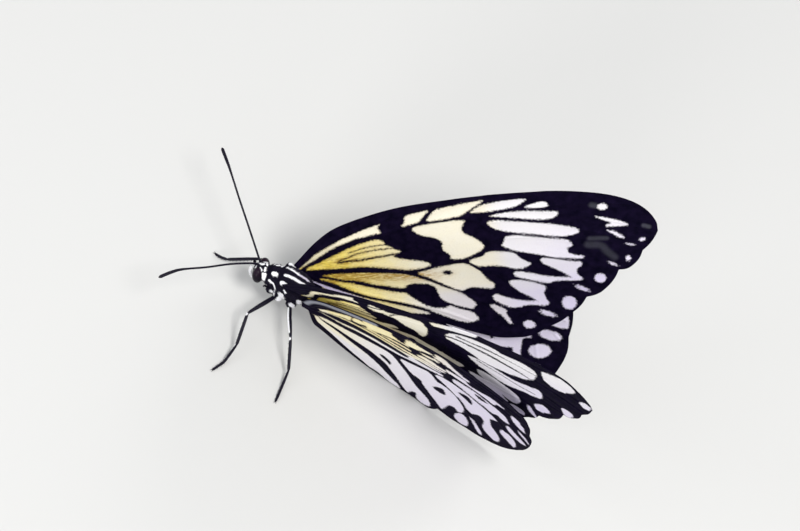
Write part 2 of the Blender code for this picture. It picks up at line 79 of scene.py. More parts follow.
def addCamera():
    place = toWorld @ Vector(view["place"])
    bpy.ops.object.camera_add(location=place)
    camera = bpy.context.object
    turn = Matrix((view["right"], view["up"], view["back"])).transposed()
    camera.matrix_world = Matrix.Translation(place) @ turn.to_4x4()
    camera.data.lens, camera.data.sensor_width = view["lens"], view["film"]
    camera.data.clip_start, camera.data.clip_end = view["near"], view["far"]
    bpy.context.scene.camera = camera


def addLight(name, place, size, power, tone):
    bpy.ops.object.light_add(type="AREA", location=place)
    light = bpy.context.object
    light.name = name
    light.data.shape = "DISK"
    light.data.size, light.data.energy, light.data.color = size, power, tone
    light.rotation_euler = (-Vector(place)).to_track_quat("-Z", "Y").to_euler()


def addStudio():
    addCamera()
    for name, settings in lamps.items():
        addLight(name, *settings)
    sky = bpy.data.worlds.new("paleSky")
    sky.use_nodes = True
    sky.node_tree.nodes["Background"].inputs["Color"].default_value = studio["sky"]
    sky.node_tree.nodes["Background"].inputs["Strength"].default_value = studio["skyStrength"]
    bpy.context.scene.world = sky
    bpy.context.scene.view_settings.view_transform = "Standard"
    bpy.ops.mesh.primitive_plane_add(size=studio["floorSize"])
    floor = bpy.context.object
    floor.name = "paleFloor"
    paint = bpy.data.materials.new("palePaper")
    paint.use_nodes = True
    shader = paint.node_tree.nodes["Principled BSDF"]
    shader.inputs["Base Color"].default_value = studio["floor"]
    shader.inputs["Roughness"].default_value = studio["floorRoughness"]
    floor.data.materials.append(paint)
    print("camera, lights and floor set up")


# shader tools: a Value is a socket that can be added, multiplied and so on
class Value:
    def __init__(self, look, socket):
        self.look, self.socket = look, socket

    def join(self, operation, a, b, clamp=False):
        return self.look.node("ShaderNodeMath", {"operation": operation, "use_clamp": clamp},
                              {0: a, 1: b})

    def clamp(self):
        return self.join("ADD", self, 0.0, clamp=True)


# + - * / and ** on values, from either side
for verb, operation in {"add": "ADD", "sub": "SUBTRACT", "mul": "MULTIPLY",
                        "truediv": "DIVIDE", "pow": "POWER"}.items():
    setattr(Value, f"__{verb}__", lambda a, b, kind=operation: a.join(kind, a, b))
    setattr(Value, f"__r{verb}__", lambda a, b, kind=operation: a.join(kind, b, a))


class Look:
    def __init__(self, name, specular, coat=0.0, glow=0.0):
        self.material = bpy.data.materials.new(name)
        self.material.use_nodes = True
        self.tree = self.material.node_tree
        self.shader = self.tree.nodes["Principled BSDF"]
        for key, value in {"Specular IOR Level": specular, "Coat Weight": coat,
                           "Coat Roughness": 0.08, "Emission Strength": glow}.items():
            self.shader.inputs[key].default_value = value

    def node(self, kind, settings, sockets, out=0):
        made = self.tree.nodes.new(kind)
        for key, value in settings.items():
            if key == "stops":
                ramp = made.color_ramp.elements
                while len(ramp) < len(value):
                    ramp.new(0.5)
                for stop, (place, colour) in zip(ramp, value):
                    stop.position, stop.color = place, (*colour, 1.0)
            else:
                setattr(made, key, value)
        for key, value in sockets.items():
            if isinstance(value, Value):
                self.tree.links.new(value.socket, made.inputs[key])
            else:
                made.inputs[key].default_value = value
        return Value(self, made.outputs[out])

    def attribute(self, name):
        return self.node("ShaderNodeAttribute", {"attribute_name": name}, {}, "Fac")

    def flat(self):
        return self.node("ShaderNodeUVMap", {"uv_map": "flat"}, {}, "UV")

    def object(self):
        return self.node("ShaderNodeTexCoord", {}, {}, "Object")

    def noise(self, where, scale, detail, roughness=0.55):
        return self.node("ShaderNodeTexNoise", {"noise_dimensions": "3D"},
                         {"Vector": where, "Scale": scale, "Detail": detail,
                          "Roughness": roughness}, "Fac")

    def cells(self, where, scale):
        return self.node("ShaderNodeTexVoronoi", {"feature": "F1"},
                         {"Vector": where, "Scale": scale}, "Distance")

    def mix(self, factor, a, b, kind="MIX"):
        return self.node("ShaderNodeMix", {"data_type": "RGBA", "blend_type": kind},
                         {"Factor": factor, 6: colour(a), 7: colour(b)}, 2)

    def bump(self, height, distance, strength):
        return self.node("ShaderNodeBump", {}, {"Height": height, "Distance": distance,
                                                "Strength": strength}, "Normal")

    def feed(self, **sockets):
        for key, value in sockets.items():
            name = {"baseColor": "Base Color", "roughness": "Roughness", "normal": "Normal",
                    "glow": "Emission Color"}[key]
            self.tree.links.new(value.socket, self.shader.inputs[name])
        return self.material


def colour(c):
    return c if isinstance(c, Value) else (*c, 1.0)


# modelling tools
def deselect():
    bpy.ops.object.select_all(action="DESELECT")


def pick(*pieces):
    deselect()
    for piece in pieces:
        piece.select_set(True)
    bpy.context.view_layer.objects.active = pieces[0]


def applyModifier(piece, kind, **settings):
    pick(piece)
    step = piece.modifiers.new(kind.lower(), kind)
    for key, value in settings.items():
        setattr(step, key, value)
    bpy.ops.object.modifier_apply(modifier=step.name)


def outward(piece, merge):
    pick(piece)
    bpy.ops.object.mode_set(mode="EDIT")
    bpy.ops.mesh.select_all(action="SELECT")
    if merge:
        bpy.ops.mesh.remove_doubles(threshold=merge)
    bpy.ops.mesh.normals_make_consistent(inside=False)
    bpy.ops.object.mode_set(mode="OBJECT")


def places(piece):
    spots = np.empty(3 * len(piece.data.vertices))
    piece.data.vertices.foreach_get("co", spots)
    return spots.reshape(-1, 3)


def setPlaces(piece, spots):
    piece.data.vertices.foreach_set("co", np.asarray(spots, float).ravel())
    piece.data.update()


def setAttributes(piece, **attributes):
    for name, values in attributes.items():
        layer = piece.data.attributes.new(name, "FLOAT", "POINT")
        layer.data.foreach_set("value", np.asarray(values, float))


def cornerPoints(piece):
    corners = np.empty(len(piece.data.loops), int)
    piece.data.loops.foreach_get("vertex_index", corners)
    return corners


def addToScene(name, data):
    piece = bpy.data.objects.new(name, data)
    bpy.context.scene.collection.objects.link(piece)
    return piece


def joined(pieces):
    pick(*pieces)
    bpy.ops.object.join()
    return bpy.context.object


smoothAngle = math.radians(50)


def settle(piece, name, material, slot, *nodes):
    # to the CAD's place and size, with its finish and the nodes that it stands for
    piece.name = piece.data.name = name
    piece.matrix_world = toWorld @ piece.matrix_world
    pick(piece)
    bpy.ops.object.transform_apply(location=True, rotation=True, scale=True)
    piece.data.materials.clear()
    piece.data.materials.append(material)
    bpy.ops.object.shade_smooth_by_angle(angle=smoothAngle)
    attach(piece, "root")
    if nodes:
        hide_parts(*nodes)
    print("made", name, len(piece.data.polygons), "faces")


# A wing's flat frame is in mm: x from the root to the tip, y towards its front edge. Marks are
# outlines in that frame; light parts come first and dark ones are cut out of them.
wing = {
    "columns": 300,
    "rows": 128,
    "membrane": 0.15,
    "vein": 0.42,  # thickness on a vein
    "veinHalfWidth": 0.5,
    "veinTaper": 0.25,
    "pleat": 0.14,  # how far the membrane bows between veins
    "pleatWidth": 3.0,
    "aboveFloor": 0.1,
    "scallop": 0.35,
    "scallopSteps": 24,
    "edgeStep": 0.3,
    "markStep": 0.5,
    "veinSteps": 20,  # steps of thickness from the membrane to a vein
    "mapScale": 100,  # millimetres to one unit of the flat map
    "mapShift": 0.25,
    "merge": 0.002,
    "length": 68.0,
}
fore = {
    "along": (-0.7616, 0.2827, 0.5831),
    "across": (0.6433, 0.2211, 0.7330),
    "root": (0.0, 2.37, 0.0),
    "hold": {
        "left": dict(turn=(-3.9, -1.25, 2.35), shift=(0.5, 0.1, -0.7), bow=-10.15, twist=-3.2,
                     curl=7.8, tuck=1.3),
        "right": dict(turn=(0.0, 0.0, 0.0), shift=(0.0, 0.0, 0.0), bow=0.0, twist=0.0,
                      curl=0.0, tuck=0.0),
    },
    "frontEdge": [(-1.3, -0.2), (0.3, 1.3), (5, 5.4), (10, 8.1), (20, 10.5), (30, 11.2), (40, 11.3),
                  (50, 10.7), (58.2, 9.2), (63.3, 7.2), (66.2, 4.7), (67.7, 1.9), (67.8, -0.1)],
    "corners": [(67.8, -0.1), (64.4, -4.1), (62.0, -7.2), (59.4, -7.8), (56.2, -11.8),
                (52.5, -13.2), (49.2, -16.4), (44.0, -19.2), (39.5, -20.8)],
    "hindEdge": [(39.5, -20.8), (35, -20.4), (31, -18.9), (24, -15.4), (15, -11.6), (9, -8.7),
                 (5.6, -6.4), (2.6, -3.9), (-1.0, -1.9), (-1.3, -0.2)],
    "veins": [
        [(0.5, 0.4), (8, 5.3), (16, 7.9), (24, 9.6), (31, 10.6)],
        [(0.2, 0.0), (7.5, 3.9), (17, 5.5), (25, 6.6), (33, 7.4), (41, 7.7), (50, 7.6), (58, 7.2),
         (63.5, 6.2)],
        [(23, 6.4), (28, 9.0), (36, 10.7)],
        [(33, 7.4), (38, 9.6), (46, 10.5)],
        [(41, 7.7), (50, 6.0), (60, 3.0), (67.0, -0.4)],
        [(33, 7.4), (36.6, 4.6), (37.2, 1.4), (36.2, -0.6)],
        [(36.6, 5.6), (44, 5.0), (52, 2.6), (60, -0.6), (65.0, -3.2)],
        [(37.2, 1.8), (44, 1.4), (51, -0.4), (57, -3.8), (61.6, -6.7)],
        [(36.2, -0.6), (43, -1.9), (50, -4.4), (58.8, -7.6)],
        [(0.2, -0.5), (8, -1.6), (20, -3.3), (31.5, -2.3), (36.2, -0.6)],
        [(31.5, -2.3), (36, -5.8), (44, -8.2), (52, -10.6), (55.6, -11.7)],
        [(21.8, -3.7), (28, -8.2), (35, -13.0), (44, -15.6), (48.6, -16.2)],
        [(0.4, -0.9), (6, -5.0), (14, -8.5), (24, -12.4), (32, -16.9), (39.2, -19.9)],
    ],
    "light": [
        # front edge stripe and the wedges of the cell
        [(0.2, -0.6), (0.9, 0.1), (2, 0.9), (3, 1.7), (4, 2.5), (6, 3.5), (8, 4.4), (10, 5.3),
         (12, 6), (14, 6.7), (16, 7.3), (17.2, 7.6), (16.6, 7), (16.6, 6.4), (17.2, 5.7), (16, 5.6),
         (14, 5.3), (12, 5), (10, 4.3), (8, 3.6), (6, 2.6), (4, 1.4), (3, 0.9), (2, 0.4), (1, -0.1)],
        [(1.65, -0.8), (2, -0.3), (4.1, 0.3), (5.3, 0.9), (8, 1.95), (10.2, 2.85), (12.6, 3.7),
         (15.1, 4.2), (16.2, 4.25), (16.9, 3.8), (17.3, 3.2), (17, 2.9), (18.4, 2.25), (18.2, 2),
         (20, 1.15), (19.6, 0.8), (18, 0.3), (18.8, -0.2), (20, -0.7), (22.4, -1.3), (23.9, -1.65),
         (25.2, -2.5), (23.6, -2.95), (21.4, -3.1), (20, -3), (17.5, -2.4), (12.6, -1.4),
         (7.8, -1.2), (4.1, -0.9), (1.9, -0.8)],
        # spots along the front edge
        [(21.05, 6.75), (21.8, 7.25), (21.9, 8.35), (22.4, 8.95), (26.9, 9.55), (26.3, 9.1),
         (25.1, 8), (24.5, 7.25), (21.4, 6.5)],
        [(25.8, 7.1), (26.3, 8), (27.3, 8.95), (28.2, 9.55), (32.1, 10), (32.6, 10.2), (36.4, 10.4),
         (37.1, 10.35), (36, 9.7), (34.4, 8.8), (32.8, 7.75), (31.5, 7.5), (28.5, 7.2)],
        [(34.1, 7.9), (35.1, 8.8), (36.7, 9.5), (40.3, 9.9), (43.8, 9.9), (45, 9.65), (43.8, 8.8),
         (42.3, 8.2), (38.5, 7.9), (36.2, 7.9)],
        [(44.2, 8), (45.4, 8.4), (47.4, 8.8), (48.6, 8.5), (48.7, 7.75), (47.4, 7.55), (45.4, 7.75)],
        # end of the cell and the bars outside it
        [(22.7, 5.8), (24, 6.5), (33.2, 6.7), (32.3, 5.5), (31.8, 3.9), (34.5, 2), (35.7, 0.3),
         (34.5, -0.7), (31.5, -1.9), (28.8, -1.8), (29, -0.9), (27.6, 0.6), (28, 2.2), (27, 3.2),
         (24, 4.2)],
        [(37.4, 6.8), (38.5, 7.05), (41.3, 7.3), (44.4, 7.25), (47.9, 6.65), (50.3, 6.3),
         (50.1, 5.45), (49, 4.95), (47.7, 4.85), (45.4, 5.2), (41.5, 6), (38.5, 6.6)],
        [(36.8, 5.55), (37.7, 5.8), (39, 5.75), (43.8, 4.8), (47.9, 4), (51.8, 2.85), (53.1, 2.25),
         (53.6, 1.7), (52.9, 0.95), (50.5, 0.7), (47.9, 1.2), (44.4, 2.1), (40.8, 2.85),
         (38.5, 3.65), (37.4, 4.55)],
        [(38.7, 0.05), (39.4, 1.1), (39.6, 1.85), (40.3, 2.1), (42.3, 2), (45.4, 1.25), (50, 0.2),
         (51.3, -0.2), (51.8, -1.1), (51.7, -1.6), (50.5, -1.9), (50.8, -2.4), (50.4, -2.9),
         (51.8, -3.6), (53.5, -4), (53.3, -4.55), (52.1, -4.4), (48.5, -3.7), (45.4, -2.65),
         (43.8, -2.1), (41.3, -1.35), (39.5, -0.45)],
        [(32, -2.5), (33.1, -2), (35.1, -1.75), (35.5, -1), (36.7, -0.8), (39.7, -1.3), (41, -1.9),
         (41.5, -2.9), (42.8, -4.05), (43.7, -4.55), (42, -5.45), (40.3, -5.35), (38.5, -4.55),
         (36.4, -4.1), (34.2, -4.05), (33.1, -3.4)],
        [(45.4, -3.4), (47.4, -3.8), (50.5, -4.7), (52.9, -5.2), (52.8, -6), (51.8, -6.6),
         (51.5, -7.5), (51.8, -8.3), (52.7, -9.1), (52, -9.35), (50.8, -8.9), (50.2, -8.2),
         (47.9, -6.35), (46.4, -5.3), (45.4, -4.55)],
        [(39.9, -6.1), (41, -5.95), (43.3, -6.7), (45.9, -7.65), (47.9, -8.05), (50.3, -8.5),
         (52.4, -9), (52, -9.4), (49.5, -9.05), (46.9, -8.8), (46.4, -9.2), (45.4, -9.1),
         (42.8, -8), (40.5, -7.1), (39.9, -6.6)],
        # cream patches behind the cell
        [(21.9, -4), (23.9, -3.6), (26.3, -3.1), (29.7, -2.75), (31.4, -3), (32.6, -3.85),
         (33.9, -5.05), (34.8, -7), (35.8, -7.9), (36, -8.55), (35.5, -9.3), (33.8, -8.9),
         (31.4, -8.35), (29.7, -9), (28.2, -8), (26, -6.55), (23.9, -5.05)],
        [(4.2, -2.5), (5.3, -2.35), (7.8, -2.4), (10.2, -2.6), (12.6, -2.75), (15.1, -3.1),
         (17.5, -3.5), (20, -4.1), (21.4, -4.7), (23.6, -5.9), (25.1, -6.8), (26.8, -7.9),
         (28.7, -8.75), (30.2, -9.95), (31.4, -11.4), (31.9, -12.4), (31.5, -12.7), (30.9, -13.4),
         (28.5, -12.3), (26.4, -11.2), (25.3, -10), (25.1, -8.25), (24.7, -7.25), (23.4, -6.6),
         (20.9, -6.3), (19.7, -6.45), (19.3, -7.05), (18.8, -7.15), (17.5, -6.8), (15.6, -6.2),
         (13.6, -5.7), (11.7, -4.8), (10.2, -4.3), (7.8, -3.85), (5.8, -3)],
        [(3.6, -2.9), (5.8, -3.6), (7.8, -4.4), (9.5, -4.85), (11.7, -5.8), (13.6, -6.55),
         (15.6, -7.25), (17.5, -7.9), (19.2, -8.25), (20, -9.2), (21.4, -10.55), (22.6, -11.55),
         (23.9, -12.15), (25.8, -12.5), (26.9, -12), (28.5, -13), (30.7, -14), (31.3, -14.6),
         (31.8, -15.8), (30.7, -16.05), (29.2, -16.2), (27.3, -15.3), (24.8, -13.85),
         (22.4, -12.15), (20, -10.9), (17.5, -9.95), (15.1, -9.1), (12.6, -8.25), (10.2, -7),
         (7.8, -5.45), (6.1, -4.35), (4.3, -3.4)],
        [(-0.6, -1.5), (0.6, -1.9), (1.2, -2.65), (2.1, -3.3), (3, -3.9), (4.4, -4.6), (6, -5.6),
         (9, -7.3), (12, -8.7), (15, -9.8), (18, -11), (20.5, -12), (23.4, -13.6), (20, -13),
         (17, -12.1), (14, -10.9), (11, -9.6), (8, -7.9), (5.4, -6.1), (3.6, -4.9), (1.9, -4),
         (1, -3.2), (0.2, -2.4)],
        [(38.7, -8), (39.5, -7.7), (40.8, -7.9), (42.8, -8.5), (45.1, -9.6), (45.4, -10.2),
         (44.7, -11.35), (44.9, -12.65), (45.5, -13.8), (44.6, -14.3), (43.3, -13.2), (42.8, -12.4),
         (41.5, -11.5), (40, -10.2), (38.8, -8.65)],
        [(35.1, -10.85), (36, -10.45), (36.7, -11), (38.5, -11.9), (40.3, -12.5), (42.3, -12.95),
         (43.3, -12.9), (44.9, -14.4), (42.8, -13.8), (40.8, -13.6), (39.7, -14), (37.9, -13.7),
         (36.7, -12.9), (35.3, -11.75)],
        [(34.2, -12.8), (34.9, -12.6), (36.7, -13.7), (37.3, -14.4), (37, -15.2), (37.6, -16.7),
         (37.8, -17.6), (37.2, -17.5), (36.2, -15.5), (35.1, -14.2)],
        # near the tip
        [(56.7, 4.5), (59, 3.8), (61.5, 2.75), (62.9, 1.7), (60.8, 1.7), (58.5, 1.85), (58.5, 2.35),
         (59.7, 2.5), (59, 3), (57.2, 4.15)],
        [(58.3, 1.2), (60, 0.7), (61.7, -1), (60.8, -0.85), (59.2, 0.45)],
    ],
    # spots along the outer edge: centre, half sizes, tilt in degrees
    "spots": [(40.9, -18.1, 1.1, 0.9, -20), (44.8, -16, 1.55, 0.55, -28), (49.1, -14.1, 1.35, 1.45, 0),
              (52.05, -11.1, 1.35, 0.45, -32), (55.7, -9.3, 1.05, 1.0, 0), (58.5, -6.4, 0.8, 0.25, -30),
              (61.5, -5.5, 0.45, 0.55, 0), (62.4, -2.5, 0.6, 0.2, -15), (64.7, -1.7, 0.5, 0.35, 0),
              (58.5, 6.3, 0.9, 0.75, 0)],
    "sideSpots": {},
    "darkSpots": [(27.7, -4.65, 0.85, 0.55, -10)],
    # on the left forewing the inner marks lie a little differently: place, then how far they move
    "moved": {"left": [(1.5, -0.5, 3.5, 0.1), (8, 4, 3.7, 2.0), (16.9, 3.8, 3.3, 2.2),
                       (22.7, 5.8, 2.9, 2.5), (21, 6.75, 1.8, 1.6), (24, 8, 0.7, 0.9),
                       (25.2, -2.5, 2.0, 5.0), (28.8, -1.8, 0.6, 3.7), (33.2, 6.7, 0.8, 2.0),
                       (34.5, 2, -1.0, 2.0), (12, -2, 3.0, 2.5), (16, -5, 2.5, 3.0),
                       (30, -15, 0, 0), (50, 0, 0, 0)]},
    # and its outer marks are its own: beyond the first x, but for those below y and before the last x
    "own": {"left": (23, -10, 43)},
    "sideMarks": {
        "left": [[(22.5, 9), (25, 8.5), (27.2, 8.2), (30, 8.8), (32.8, 9.5), (34, 8.8), (34.5, 7),
                  (33.5, 4), (31.8, 2.2), (31, 4.2), (29, 4.8), (27.5, 6.2), (25.5, 7), (21.5, 6.5)],
                 [(23, 1.2), (26.5, 1.2), (30, 1.2), (32.8, -0.8), (35.5, -2.5), (39.2, -4.2),
                  (37, -6), (33.8, -5.5), (30.5, -4.5), (27.8, -2.5), (25.2, -1), (22.5, -0.2)],
                 [(38.8, 7.8), (41.8, 9), (44.8, 9.2), (48.2, 8.5), (51.2, 7.2), (54.5, 6.8),
                  (56.8, 5.8), (57, 4.2), (55.5, 1.5), (53, 0.2), (50, 0), (47.5, 0), (45, 0.5),
                  (43, 2), (41, 4), (38.8, 4.8), (37.8, 5.8)],
                 [(41, 1.2), (43.5, 1), (45.8, 0), (48, -1), (50.2, -2), (52.8, -2.2), (55.5, -1.8),
                  (56.2, -3.2), (55.2, -5.5), (53.5, -5.5), (51, -5.5), (48, -5.5), (46, -4.8),
                  (44, -3), (42, -1)],
                 [(41.8, -3.2), (44.5, -4.2), (47.2, -6.2), (49.2, -8.5), (49.2, -10.8),
                  (47.5, -12.5), (46, -11.8), (44.5, -9.8), (42.5, -7.5), (41.5, -5.5)],
                 [(58.5, 6.8), (60.5, 7), (63, 6.8), (64.8, 5.5), (65.5, 4.5), (64.2, 3), (61.5, 1.5),
                  (59.5, 2), (58.2, 3.5)],
                 [(52.5, -8.8), (54.8, -7.5), (56, -8.8), (56, -10), (54, -11.2), (52.5, -10.8)],
                 [(59.5, -5.2), (61, -5), (62.2, -6), (61.2, -7.8), (59.5, -7.8)],
                 [(50.5, -10.5), (51.2, -11.2), (51.8, -14.5), (51.2, -14.8), (50.2, -13)],
                 [(45.8, -13.5), (47.2, -13.2), (48.8, -14.5), (48.2, -16.8), (47, -16), (45.5, -15.5)],
                 [(65.2, 1), (66.8, 1.8), (68, 0.8), (67, -0.8), (65.5, -0.8)],
                 [(36, 10.2), (39.5, 11), (43.5, 11.8), (46.8, 11.5), (45.5, 10.2), (42, 9.8),
                  (38.5, 9.2), (36, 9.2)]],
    },
    "sideLines": {"left": [(0.6, (36.6, 6.0), (40, 6.4), (43.8, 5.6), (47.2, 4.6), (50.2, 3.3),
                            (52.5, 2.4), (55, 1.2)),
                           (0.4, (41, 7.9), (46, 7.1), (50, 6.0), (54, 4.7), (58, 3.4)),
                           (0.55, (20, 6.2), (25, 6.8), (29, 7.1), (34.5, 7.5)),
                           (0.35, (26.5, 7), (28, 8.2), (30, 9.4)),
                           (0.35, (43, 0.4), (47, -1.6), (50.5, -3.6), (54, -4.4))]},
    # dark lines: width, then points
    "darkLines": [(0.2, (10.2, 1.9), (12.6, 2.5), (15.1, 2.9), (17.2, 2.85)),
                  (0.26, (8, 0.35), (10.2, 1), (11.7, 1.5), (15.1, 1.95), (18.3, 1.95)),
                  (0.4, (7.8, 0), (10.2, 0.1), (12.6, 0.1), (15.1, 0.3), (18.2, 0.55), (20, 0.65))],
    "dark": [],
    # faint marks: strength, width, then points
    "haze": [(0.06, 1.3, (54.6, -1.6), (56.9, -2.1), (57.8, -3.4), (59, -4.95)),
             (0.07, 0.9, (55.1, -0.35), (58.2, -0.6)), (0.1, 0.8, (65.4, 1.3), (66.3, 0.9)),
             (0.1, 1.1, (56.7, 6.9), (57.3, 6.7))],
}
